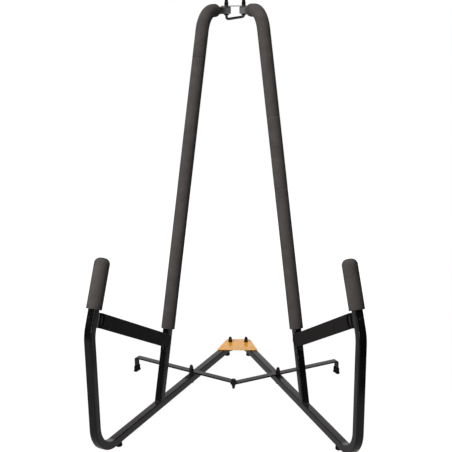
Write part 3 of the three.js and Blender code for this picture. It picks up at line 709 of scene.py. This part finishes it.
def arm_foam(side):
    """A foam sleeve over the arm with a moulded round end."""
    start = along_to(KINK, ARM_UP, STRIP_ON_ARM[side].z + ARM_FOAM_GAPS[side])
    socket = (ARM_END - start).length + ARM_FOAM_SLACK
    top = socket + ARM_FOAM_ROOF
    crown = ARM_FOAM_CROWN
    profile = [(ARM_FOAM_RADIUS - 0.8, 0), (ARM_FOAM_RADIUS, 0.9)]
    rings, crown_steps = 8, 12
    for ring in range(1, rings + 1):
        profile.append((ARM_FOAM_RADIUS, (top - crown) * ring / rings))
    for step in range(1, crown_steps + 1):
        angle = math.pi / 2 * step / crown_steps
        profile.append((
            ARM_FOAM_RADIUS - crown * (1 - math.cos(angle)), top - crown * (1 - math.sin(angle)),
        ))
    profile.append((0, top + 0.6))
    bm = bmesh.new()
    turned(bm, profile, 56)
    rim = [e for e in bm.edges if e.is_boundary]
    inside = foam_hollow(bm)
    bmesh.ops.bridge_loops(bm, edges=rim + inside)
    closed_up(bm, extend(bm, inside, (0, 0, socket)))
    turn = Matrix.Translation(start) @ Matrix.Rotation(-ARM_LEAN, 4, "Y")
    piece = finished(
        f"{side}_arm_sleeve", rough_mesh(bm), side_place(side) @ turn, foam, f"{side}_frame",
        f"{side}_arm_foam", 60, False,
    )


# Support strips


def strip_edge_point(side, sign, set_back, half_width):
    """A front corner of the strip: its lower edge has the sign -1, its upper one 1."""
    share = (sign * half_width + set_back * ARM_FORWARD.dot(STRIP_UP)) / ARM_UP.dot(STRIP_UP)
    return STRIP_ON_ARM[side] - ARM_FORWARD * set_back + ARM_UP * share


def strip_plan(bm, side, set_back, half_width, level):
    """The strip seen from its side: cut off along the arm, and half round at the upright."""
    end = STRIP_ON_UPRIGHT[side] + STRIP_BACK * (half_width - STRIP_END_SET_BACK)
    corners = [
        strip_edge_point(side, -1, set_back, half_width),
        strip_edge_point(side, 1, set_back, half_width),
        end + STRIP_UP * half_width,
        end - STRIP_UP * half_width,
    ]
    verts = [bm.verts.new(corner + Vector((0, level, 0))) for corner in corners]
    bm.faces.new(verts)
    return with_round_corners(bm, verts[2:], half_width, 18)


def rough_sheet(bm, inward):
    """Gives a sheet its thickness away from its outer face."""
    pointed_outwards(bm)
    widest = max(bm.faces, key=lambda f: f.calc_area())
    if widest.normal.y * inward < 0:
        bmesh.ops.reverse_faces(bm, faces=bm.faces[:])
    bmesh.ops.solidify(bm, geom=bm.faces[:], thickness=STRIP_THICKNESS)
    return rough_mesh(bm)


def slab(corners, move):
    """A flat piece of sheet from its corners, with eased edges."""
    bm = bmesh.new()
    face = bm.faces.new([bm.verts.new(corner) for corner in corners])
    thickened(bm, face, move)
    eased(bm, 0.4)
    return rough_mesh(bm)


def support_strip(side):
    """A flat strip, its front end bent over the arm, its rear end with a lug on the upright."""
    inward = -SIDES[side]
    on_arm = STRIP_ON_ARM[side]
    rear_tab = REAR_TAB[side]
    near = TUBE_HALF + FIT_GAP
    far = near + STRIP_THICKNESS
    bm = bmesh.new()
    plate = strip_plan(bm, side, near + STRIP_BEND, STRIP_HALF, inward * far)
    front = max(plate.edges, key=lambda e: (
        (e.verts[0].co + e.verts[1].co) / 2 - on_arm
    ).dot(ARM_FORWARD))
    centre = on_arm - ARM_FORWARD * (near + STRIP_BEND)
    centre = centre + Vector((0, inward * (far - STRIP_BEND), 0))
    tab = swing(bm, [front], centre, ARM_UP, -inward * math.pi / 2, 10)
    extend(bm, tab, Vector((0, -inward * (far - STRIP_BEND + STRIP_TAB_REACH), 0)))
    body = rough_sheet(bm, inward)

    def rear_corner(rise, forward, across):
        flat = rear_tab + UPRIGHT_UP * rise + UPRIGHT_FORWARD * forward
        return flat + Vector((0, inward * across, 0))

    ear_end = near + REAR_TAB_EAR
    ear = slab([
        rear_corner(-REAR_TAB_HALF, near, near), rear_corner(-REAR_TAB_HALF, ear_end, near),
        rear_corner(REAR_TAB_RISE, ear_end, near), rear_corner(REAR_TAB_RISE, near, near),
    ], (0, inward * STRIP_THICKNESS, 0))
    lug = slab([
        rear_corner(rise, near, across)
        for rise, across in (
            (-REAR_TAB_HALF, -REAR_TAB_HALF), (-REAR_TAB_HALF, far),
            (REAR_TAB_HALF, far), (REAR_TAB_HALF, -REAR_TAB_HALF),
        )
    ], UPRIGHT_FORWARD * STRIP_THICKNESS)
    whole = combined(combined(body, ear, "UNION"), lug, "UNION")
    finished(
        f"{side}_strip", whole, side_place(side), powder_coat, f"{side}_frame",
        f"{side}_support_strip", 35,
    )


def support_facing(side):
    """The strip's rubber facing, cut out in a round at the arm."""
    inward = -SIDES[side]
    near = TUBE_HALF + STRIP_THICKNESS + 2 * FIT_GAP
    bm = bmesh.new()
    set_back = TUBE_HALF + FIT_GAP + STRIP_BEND + FACING_MARGIN
    face = strip_plan(bm, side, set_back, STRIP_HALF - FACING_MARGIN, inward * near)
    thickened(bm, face, (0, inward * FACING_THICKNESS, 0))
    outer = [
        e for e in bm.edges
        if all(abs(v.co.y - inward * (near + FACING_THICKNESS)) < 0.01 for v in e.verts)
    ]
    eased(bm, 0.9, 3, outer)
    radius = FACING_CUT_RADIUS
    cut = turned_mesh([(0, -30), (radius, -30), (radius, 30), (0, 30)], 96)
    place = Matrix.Translation(STRIP_ON_ARM[side] + STRIP_BACK * FACING_CUT_SET_BACK)
    cut.transform(place @ Matrix.Rotation(math.pi / 2, 4, "X"))
    mesh = combined(rough_mesh(bm), cut, "DIFFERENCE")
    finished(
        f"{side}_facing", mesh, side_place(side), facing, f"{side}_frame",
        f"{side}_support_pad", 35,
    )


# Fasteners


def chamfered_hexagon(flats, low, high, both=False):
    """A hexagon whose corners are cut to a cone, as a turned blank leaves them."""
    corner = flats / math.sqrt(3)
    bm = bmesh.new()
    made = bmesh.ops.create_cone(
        bm, cap_ends=True, segments=6, radius1=corner, radius2=corner, depth=high - low,
    )["verts"]
    bmesh.ops.translate(bm, verts=made, vec=(0, 0, (low + high) / 2))
    block = rough_mesh(bm)
    inner = flats / 2 * 0.97
    outer = corner + 0.2
    drop = (outer - inner) * 0.5
    profile = [(0, low), (inner if both else outer, low)]
    if both:
        profile.append((outer, low + drop))
    profile += [(outer, high - drop), (inner, high), (0, high)]
    return combined(block, turned_mesh(profile), "INTERSECT")


# Acorn nuts on the tubes, on the top link and at the common pivot of the stays
TUBE_NUT = {
    "flats": 13, "hexagon_height": 6.5, "dome_radius": 5.8, "height": 18,
    "bore_radius": BOLT_HOLE, "bore": 8.5,
}
LINK_NUT = {
    "flats": 12.5, "hexagon_height": 8.5, "dome_radius": 5.5, "height": 22,
    "bore_radius": BOLT_HOLE, "bore": 9,
}
CENTRE_NUT = {
    "flats": 10.5, "hexagon_height": 5.5, "dome_radius": 4.9, "height": 16.5,
    "bore_radius": 2, "bore": 2,
}


def cap_nut(flats, hexagon_height, dome_radius, height, bore_radius, bore):
    """An acorn nut: a chamfered hexagon under an ogive dome."""
    body = chamfered_hexagon(flats, 0, hexagon_height)
    rise = height - hexagon_height
    neck = dome_radius * 0.97
    profile = [(0, hexagon_height - 1), (neck, hexagon_height - 1), (neck, hexagon_height)]
    steps = 14
    for step in range(1, steps + 1):
        share = step / steps
        across = dome_radius * math.cos(math.asin(share ** 1.15) * 0.985)
        profile.append((max(across, 0.6 if step < steps else 0), hexagon_height + rise * share))
    whole = combined(body, turned_mesh(profile), "UNION")
    return bored(whole, (0, 0, 0), bore_radius, -1, bore)


def washer(radius, thickness):
    """A flat washer or spacer with slightly rounded edges."""
    ease = min(0.25, thickness / 4)
    return turned_mesh([
        (BOLT_HOLE, 0), (radius - ease, 0), (radius, ease), (radius, thickness - ease),
        (radius - ease, thickness), (BOLT_HOLE, thickness), (BOLT_HOLE, 0),
    ])


def hexagon_bolt(shank_top):
    """A bolt, head down, whose head ends at height 0."""
    head = chamfered_hexagon(13, -5.3, 0, both=True)
    shank = turned_mesh([
        (0, -2), (4, -2), (4, shank_top - 0.6), (3.4, shank_top), (0, shank_top),
    ], 32)
    return combined(head, shank, "UNION")


def pan_screw(length):
    """A pan head screw with a cross recess."""
    profile = [
        (0, -length), (2.2, -length), (2.5, -length + 0.4), (2.5, 0), (4.0, 0), (4.2, 0.25),
        (4.2, 0.9), (4.0, 1.5), (3.5, 2.0), (2.7, 2.4), (1.5, 2.57), (0, 2.6),
    ]
    body = turned_mesh(profile)
    for turn in (0.5, 0.5 + math.pi / 2):
        bm = bmesh.new()
        made = bmesh.ops.create_cube(bm, size=1)["verts"]
        bmesh.ops.scale(bm, verts=made, vec=(4.2, 0.85, 2.2))
        lower = [v for v in made if v.co.z < 0]
        bmesh.ops.scale(bm, verts=lower, vec=(0.45, 0.7, 1))
        bmesh.ops.translate(bm, verts=made, vec=(0, 0, 1.9))
        bmesh.ops.rotate(bm, verts=made, cent=(0, 0, 0), matrix=Matrix.Rotation(turn, 3, "Z"))
        body = combined(body, rough_mesh(bm), "DIFFERENCE")
    return body


# Hinge plate, strap and link rod


def hinge_plate():
    """The plate that holds both frames, with a pressed dimple over each base tube."""
    bm = bmesh.new()
    verts = [bm.verts.new(corner) for corner in PLATE_CORNERS]
    bm.faces.new(verts)
    face = with_round_corners(bm, verts, PLATE_CORNER_RADIUS, 8)
    thickened(bm, face, (0, 0, PLATE_THICKNESS))
    eased(bm, 0.45)
    body = rough_mesh(bm)
    for sign in SIDES.values():
        x = sign * (HINGE_HALF_SPACING + DIMPLE_DISTANCE * math.sin(OPEN_ANGLE))
        y = -DIMPLE_DISTANCE * math.cos(OPEN_ANGLE)
        dimple = turned_mesh([
            (0, 1.0), (2.5, 1.0), (3.0, 1.15), (3.2, 1.6), (3.2, 4), (0, 4),
        ], 32)
        dimple.transform(Matrix.Translation((x, y, 0)))
        body = combined(body, dimple, "DIFFERENCE")
        body = bored(body, (sign * HINGE_HALF_SPACING, 0, 0), BOLT_HOLE, -2, 5)
    place = raised(HINGE_PLACE, PLATE_LEVEL)
    finished("hinge_plate", body, place, yellow_zinc, "hinge_set", "rear_hinge_plate")


def link_strap():
    """The flat link over the tops of both frames."""
    bm = bmesh.new()
    half_length = HINGE_HALF_SPACING + STRAP_RADIUS
    face = rounded_rectangle(bm, half_length, STRAP_RADIUS, STRAP_RADIUS, 16)
    thickened(bm, face, (0, 0, STRAP_THICKNESS))
    eased(bm, 0.4)
    body = rough_mesh(bm)
    for sign in SIDES.values():
        body = bored(body, (sign * HINGE_HALF_SPACING, 0, 0), BOLT_HOLE, -2, 5)
    place = raised(HINGE_PLACE, STRAP_LEVEL)
    finished("link_strap", body, place, powder_coat, "hinge_set", "top_link_strap")


def link_rod():
    """The bent rod under the tube ends, whose upturned ends are the top hinge pins."""
    under = TOP_HEIGHT - TUBE_HALF
    pin_top = TOP_NUT_LEVEL + 7
    places = [
        forward_up(-HINGE_HALF_SPACING, pin_top),
        forward_up(-HINGE_HALF_SPACING, under - LINK_DROPS["left"]),
        forward_up(HINGE_HALF_SPACING, under - LINK_DROPS["right"]),
        forward_up(HINGE_HALF_SPACING, pin_top),
    ]
    bm = bmesh.new()
    edges = circle_outline(bm, LINK_RADIUS, 32)
    set_upright(bm, edges, places[0], Vector((0, 0, -1)))
    closed_up(bm, edges)
    closed_up(bm, draw_tube(bm, edges, places, [6, 6], bend_step=math.radians(9)))
    mesh = rough_mesh(bm)
    finished("link_rod", mesh, HINGE_PLACE, black_zinc, "hinge_set", "top_link_rod", 40)


def on_axis(side, axis, body, pieces):
    """Finishes the fasteners of one upright axis, each at its height."""
    for name, mesh, height, material, node in pieces:
        finished(f"{side}_{name}", mesh, raised(axis, height), material, body, f"{side}_{node}")


def hinge_fasteners(side):
    nut_seat = PLATE_LEVEL + PLATE_THICKNESS + FIT_GAP
    bolt_seat = FOOT_HEIGHT - 2 * FIT_GAP - BASE_WASHER_THICKNESS
    bolt = hexagon_bolt(nut_seat + TUBE_NUT["hexagon_height"] - bolt_seat)
    bush = turned_mesh([
        (BOLT_HOLE, -3.8), (5.4, -3.8), (6.1, -3.5), (7.2, -2.6), (8.2, -1.5), (8.5, -1.0),
        (8.5, -0.3), (8.3, 0), (BOLT_HOLE, 0), (BOLT_HOLE, -3.8),
    ])
    under_tube = TOP_HEIGHT - TUBE_HALF - FIT_GAP
    top_washer = washer(7.2, TOP_WASHER_THICKNESS)
    base_washer = washer(8.4, BASE_WASHER_THICKNESS)
    axis = Matrix.Translation((SIDES[side] * HINGE_HALF_SPACING, HINGE_Y, 0))
    on_axis(side, axis, "hinge_set", [
        ("plate_nut", cap_nut(**TUBE_NUT), nut_seat, black_nickel, "rear_hinge_nut"),
        ("link_nut", cap_nut(**LINK_NUT), TOP_NUT_LEVEL, black_nickel, "top_link_nut"),
        ("link_washer", top_washer, TOP_WASHER_LEVEL, black_nickel, "top_link_washer"),
        ("link_bush", bush, under_tube, plastic, "top_link_bush"),
        ("plate_bolt", bolt, bolt_seat, bright_zinc, "rear_hinge_bolt"),
        ("plate_washer", base_washer, bolt_seat + FIT_GAP, bright_zinc, "rear_hinge_washer"),
    ])


# Feet, stays and boots


def foot(name, side, distance, node):
    """A round rubber bumper with its pin up in the tube."""
    top = FOOT_HEIGHT - FIT_GAP
    profile = [
        (0, 0), (6.6, 0), (7.7, 0.25), (8.6, 0.9), (9, 2), (8.9, 3.2), (8.2, top - 0.6),
        (7.7, top), (3, top), (3, top + 6), (0, top + 6),
    ]
    place = side_place(side) @ Matrix.Translation((distance, 0, 0))
    finished(name, turned_mesh(profile), place, rubber, f"{side}_frame", node, 50)


def stay_place(side):
    """A stay lies with x towards the common pivot and z = 0 at half its thickness."""
    sign = SIDES[side]
    level = STAY_LEVELS[side] + STAY_THICKNESS / 2
    frame_turn = -math.pi / 2 + sign * OPEN_ANGLE
    from_hinge = Vector((-sign * HINGE_HALF_SPACING, -STAY_CENTRE, 0))
    centre = Matrix.Rotation(-frame_turn, 4, "Z") @ from_hinge
    reach = math.hypot(centre.x - STAY_DISTANCE, centre.y)
    turn = Matrix.Rotation(math.atan2(centre.y, centre.x - STAY_DISTANCE), 4, "Z")
    return side_place(side) @ Matrix.Translation((STAY_DISTANCE, 0, level)) @ turn, reach, level


def stay_bar(side):
    """A flat bar with a round eye, bent down at its outer end."""
    place, reach, level = stay_place(side)
    half = STAY_WIDTH / 2
    bend_x = STAY_BEND - STAY_TIP_REACH
    bm = bmesh.new()
    corners = rectangle(bm, (reach + half - bend_x) / 2, half)
    face = with_round_corners(bm, [v for v in corners if v.co.x > 0], half * 0.999, 18)
    centre_x = (reach + half + bend_x) / 2
    bmesh.ops.translate(bm, verts=bm.verts[:], vec=(centre_x, 0, -STAY_THICKNESS / 2))
    thickened(bm, face, (0, 0, STAY_THICKNESS))
    end = min(bm.faces, key=lambda f: f.calc_center_median().x)
    edges = open_outline(bm, end)
    edges = swing(bm, edges, (bend_x, 0, -STAY_BEND), (0, -1, 0), math.pi / 2, 9)
    leg_end = BOOT_FLOOR + FIT_GAP - level
    closed_up(bm, extend(bm, edges, (0, 0, leg_end + STAY_BEND)))
    pointed_outwards(bm)
    eased(bm, 0.5)
    body = rough_mesh(bm)
    for x, radius in ((0, BOLT_HOLE), (reach, 4.0)):
        body = bored(body, (x, 0, 0), radius, -8, 8)
    finished(
        f"{side}_bent_stay", body, place, powder_coat, f"{side}_stay", f"{side}_stay_bar", 40,
    )


def stay_boot(side):
    """A moulded boot pushed over the flat leg, flared to a lip at the floor."""
    place, _, level = stay_place(side)
    half_x, half_y, wall, height = STAY_THICKNESS / 2, STAY_WIDTH / 2, 2.6, 0
    bm = bmesh.new()
    edges = rounded_rectangle(bm, half_x + wall, half_y + wall, 2.6, 6).edges[:]
    # Heights above the floor, and how thick the boot's wall is there; the last ones lie inside it
    levels = (
        (0.5, 3.2), (1.3, 3.4), (3.0, 3.4), (4.0, 3.1), (5.2, 2.5), (6.5, 2.3), (12, 2.2),
        (17.4, 2.1), (18.6, 1.8), (19, 1.2), (19, 0.6), (18.6, 0.3), (4, 0.3),
    )
    for above, next_wall in levels:
        edges = extend(bm, edges, (0, 0, above - height))
        grow = ((half_x + next_wall) / (half_x + wall), (half_y + next_wall) / (half_y + wall), 1)
        bmesh.ops.scale(bm, verts=verts_of(edges), vec=grow)
        height, wall = above, next_wall
    closed_up(bm, edges)
    here = place @ Matrix.Translation((-STAY_TIP_REACH, 0, -level))
    finished(
        f"{side}_boot", rough_mesh(bm), here, rubber, f"{side}_stay", f"{side}_stay_boot", 40,
    )


def stay_fasteners(side):
    bolt_seat = FOOT_HEIGHT - FIT_GAP
    nut_seat = STAY_LEVELS[side] + STAY_THICKNESS + FIT_GAP
    bolt = hexagon_bolt(nut_seat + TUBE_NUT["hexagon_height"] - bolt_seat)
    low = BASE_TOP + FIT_GAP
    spacer = washer(7.5, STAY_LEVELS[side] - FIT_GAP - low)
    axis = side_place(side) @ Matrix.Translation((STAY_DISTANCE, 0, 0))
    on_axis(side, axis, f"{side}_frame", [
        ("pivot_nut", cap_nut(**TUBE_NUT), nut_seat, black_nickel, "stay_nut"),
        ("pivot_bolt", bolt, bolt_seat, bright_zinc, "stay_bolt"),
        ("pivot_spacer", spacer, low, plastic, "stay_spacer"),
    ])


def centre_pivot():
    """The bolt on the left stay, and the nut with its stub under the right stay."""
    half = STAY_THICKNESS / 2
    seat = half + FIT_GAP
    place, reach, _ = stay_place("left")
    head = turned_mesh([
        (0, -half), (3.7, -half), (3.7, seat), (6.9, seat), (7.2, seat + 0.3), (7.2, seat + 2.1),
        (6.9, seat + 3.2), (6.2, seat + 4.3), (5.2, seat + 5.1), (3.6, seat + 5.7),
        (1.8, seat + 5.95), (0, seat + 6),
    ])
    here = place @ Matrix.Translation((reach, 0, 0))
    finished("centre_head", head, here, black_nickel, "left_stay", "centre_pivot_bolt", 40)
    place, reach, _ = stay_place("right")
    body = cap_nut(**CENTRE_NUT)
    body.transform(Matrix.Rotation(math.pi, 4, "X"))
    top = seat + half
    stub = turned_mesh([(0, -2.5), (3.7, -2.5), (3.7, top), (0, top)], 32)
    body = combined(body, stub, "UNION")
    here = place @ Matrix.Translation((reach, 0, -seat))
    finished("centre_nut", body, here, black_nickel, "right_stay", "centre_pivot_nut", 40)


def on_leaning_tube(side, point, forward, distance, lean):
    """Where a fastener sits, its axis square to a leaning tube and its head forward."""
    return (
        side_place(side) @ Matrix.Translation(point + forward * distance)
        @ Matrix.Rotation(math.pi / 2 - lean, 4, "Y")
    )


def strip_fasteners(side):
    seat = TUBE_HALF + FIT_GAP
    over_strip = seat + STRIP_THICKNESS + FIT_GAP
    on_arm = STRIP_ON_ARM[side]
    body = f"{side}_frame"
    finished(
        f"{side}_arm_screw", pan_screw(seat + over_strip + 5),
        on_leaning_tube(side, on_arm, ARM_FORWARD, seat, ARM_LEAN),
        black_nickel, body, f"{side}_strip_front_screw", 40,
    )
    arm_nut = bored(chamfered_hexagon(8, -4, 0, both=True), (0, 0, 0), 2.8, -5, 1)
    finished(
        f"{side}_arm_nut", arm_nut,
        on_leaning_tube(side, on_arm, ARM_FORWARD, -over_strip, ARM_LEAN),
        black_zinc, body, f"{side}_strip_front_nut",
    )
    finished(
        f"{side}_upright_screw", pan_screw(9),
        on_leaning_tube(side, REAR_TAB[side], UPRIGHT_FORWARD, over_strip, UPRIGHT_LEAN),
        black_nickel, body, f"{side}_strip_rear_screw", 40,
    )


hinge_plate()
link_strap()
link_rod()
centre_pivot()
for side in SIDES:
    rear = forward_up(-TUBE_OVERHANG, BASE_LEVEL)
    square_tube(
        f"{side}_bent_base", side, [rear, POST_FOOT, KINK, ARM_END], [FRONT_BEND, KINK_BEND],
        f"{side}_base_tube",
    )
    lower_end = along_to(UPRIGHT_FOOT, UPRIGHT_UP, BASE_TOP - TUBE_HALF)
    square_tube(
        f"{side}_long_upright", side,
        [lower_end, TOP_CORNER, forward_up(-TUBE_OVERHANG, TOP_HEIGHT)], [TOP_BEND],
        f"{side}_upright_tube", BASE_TOP + 0.1,
    )
    weld(side)
    end_cap(f"{side}_base_cap", side, BASE_LEVEL, f"{side}_base_plug")
    end_cap(f"{side}_top_cap", side, TOP_HEIGHT, f"{side}_top_plug")
    upright_foam(side)
    arm_foam(side)
    support_strip(side)
    support_facing(side)
    strip_fasteners(side)
    foot(f"{side}_front_bumper", side, FRONT_FOOT_DISTANCE, f"{side}_front_foot")
    foot(f"{side}_rear_bumper", side, REAR_FOOT_DISTANCE, f"{side}_rear_foot")
    stay_bar(side)
    stay_boot(side)
    stay_fasteners(side)
    hinge_fasteners(side)
    # The arm's plug is out of sight under the foam and only takes its material
    hidden_plug = frame["nodes"][f"{side}_arm_plug"]
    hidden_plug.data.materials.clear()
    hidden_plug.data.materials.append(plastic)


# Floor, backdrop and light

scene = bpy.context.scene
scene.view_settings.view_transform = "Standard"


def floor_material():
    # Matt white laminate of a studio sweep: overexposed to the camera, which keeps only its deepest
    # shadows, and grey in the mirror of the black tubes.
    material, tree, place = new_material("white_studio_laminate")
    grain = add(tree, "TexNoise", {"Vector": place, "Scale": metre_scale(30), "Detail": 2.0})
    white = add(tree, "Mix", {0: grain, 6: linear("8e8e8e"), 7: linear("949494")}, data_type="RGBA")
    matt = add(tree, "BsdfDiffuse", {"Color": white})
    path = add(tree, "LightPath")
    strength = add(tree, "Mix", {0: path.outputs["Is Glossy Ray"], 2: 1.12, 3: 0.4})
    glow = add(tree, "Emission", {"Color": (1, 1, 1, 1), "Strength": strength})
    camera_or_mirror = add(tree, "Math", {
        0: path.outputs["Is Camera Ray"], 1: path.outputs["Is Glossy Ray"],
    }, operation="MAXIMUM")
    direct = add(tree, "Math", {
        0: camera_or_mirror, 1: path.outputs["Is Transmission Ray"],
    }, operation="MAXIMUM")
    spot = add(tree, "NewGeometry").outputs["Position"]
    away = add(tree, "VectorMath", {0: spot}, operation="LENGTH").outputs["Value"]
    near = add(tree, "MapRange", {
        "Value": away, "From Min": 0.5, "From Max": 0.9, "To Min": 0.88, "To Max": 1.0,
    })
    share = add(tree, "Math", {0: direct, 1: near}, operation="MULTIPLY")
    surface = add(tree, "MixShader", {0: share, 1: matt, 2: glow})
    add(tree, "OutputMaterial", {"Surface": surface})
    return material


def studio_floor():
    """A floor just under the feet."""
    half_width, half_depth, below_feet = 1.15, 2.2, 0.0002
    bm = bmesh.new()
    corners = rectangle(bm, half_width, half_depth)
    bmesh.ops.translate(bm, verts=corners, vec=(-0.5, 0.9, -below_feet))
    mesh = bpy.data.meshes.new("floor")
    bm.to_mesh(mesh)
    bm.free()
    mesh.materials.append(floor_material())
    floor = bpy.data.objects.new("floor", mesh)
    scene.collection.objects.link(floor)


def soft_box(name, place, aim, size, power, in_mirrors=True):
    """A lamp; one that is kept out of mirrors lights the stand without showing in its gloss."""
    light = bpy.data.lights.new(name, "AREA")
    light.shape = "RECTANGLE"
    light.size, light.size_y = size
    light.energy = power
    lamp = bpy.data.objects.new(name, light)
    scene.collection.objects.link(lamp)
    lamp.location = place
    lamp.rotation_euler = (Vector(aim) - Vector(place)).to_track_quat("-Z", "Y").to_euler()
    lamp.visible_glossy = in_mirrors


studio_floor()
world = bpy.data.worlds.new("pale studio")
scene.world = world
world.use_nodes = True
tree = world.node_tree
tree.nodes.clear()
# Mirrored rays see a white backdrop behind the stand, lit low down, and elsewhere a dim room
heading = add(tree, "SeparateXYZ", {0: add(tree, "TexCoord").outputs["Generated"]})
path = add(tree, "LightPath")
behind = add(tree, "MapRange", {"Value": heading.outputs["Y"], "From Min": 0.4, "From Max": 0.75})
low = add(tree, "MapRange", {
    "Value": heading.outputs["Z"], "From Min": 0.4, "From Max": 0.5, "To Min": 1.0, "To Max": 0.1,
})
backdrop = add(tree, "Math", {0: behind, 1: low}, operation="MULTIPLY")
mirrored = add(tree, "Math", {0: backdrop, 1: 0.02}, operation="MAXIMUM")
lit = add(tree, "Mix", {0: path.outputs["Is Glossy Ray"], 2: 0.05, 3: mirrored})
through = add(tree, "Math", {
    0: path.outputs["Is Camera Ray"], 1: path.outputs["Is Transmission Ray"],
}, operation="MAXIMUM")
level = add(tree, "Mix", {0: through, 2: lit, 3: 1.0})
background = add(tree, "Background", {"Color": (1, 1, 1, 1), "Strength": level})
add(tree, "OutputWorld", {"Surface": background})
# Seen from behind, the key would turn the black tubes white
soft_box("key", (-1.5, -1.95, 1.85), (0, 0, 0.4), (1.1, 1.1), 100, in_mirrors=False)
soft_box("side", (-2.9, -0.2, 2.2), (0, 0, 0.5), (2.4, 2.4), 16)
soft_box("fill", (2.6, -0.2, 1.8), (0, 0, 0.6), (2.0, 2.4), 5)
soft_box("front", (0.2, -2.75, 0.8), (0, 0, 0.5), (0.7, 0.5), 12)
soft_box("top", (0, 0.5, 3.2), (0, 0, 0.4), (2.4, 2.0), 42)
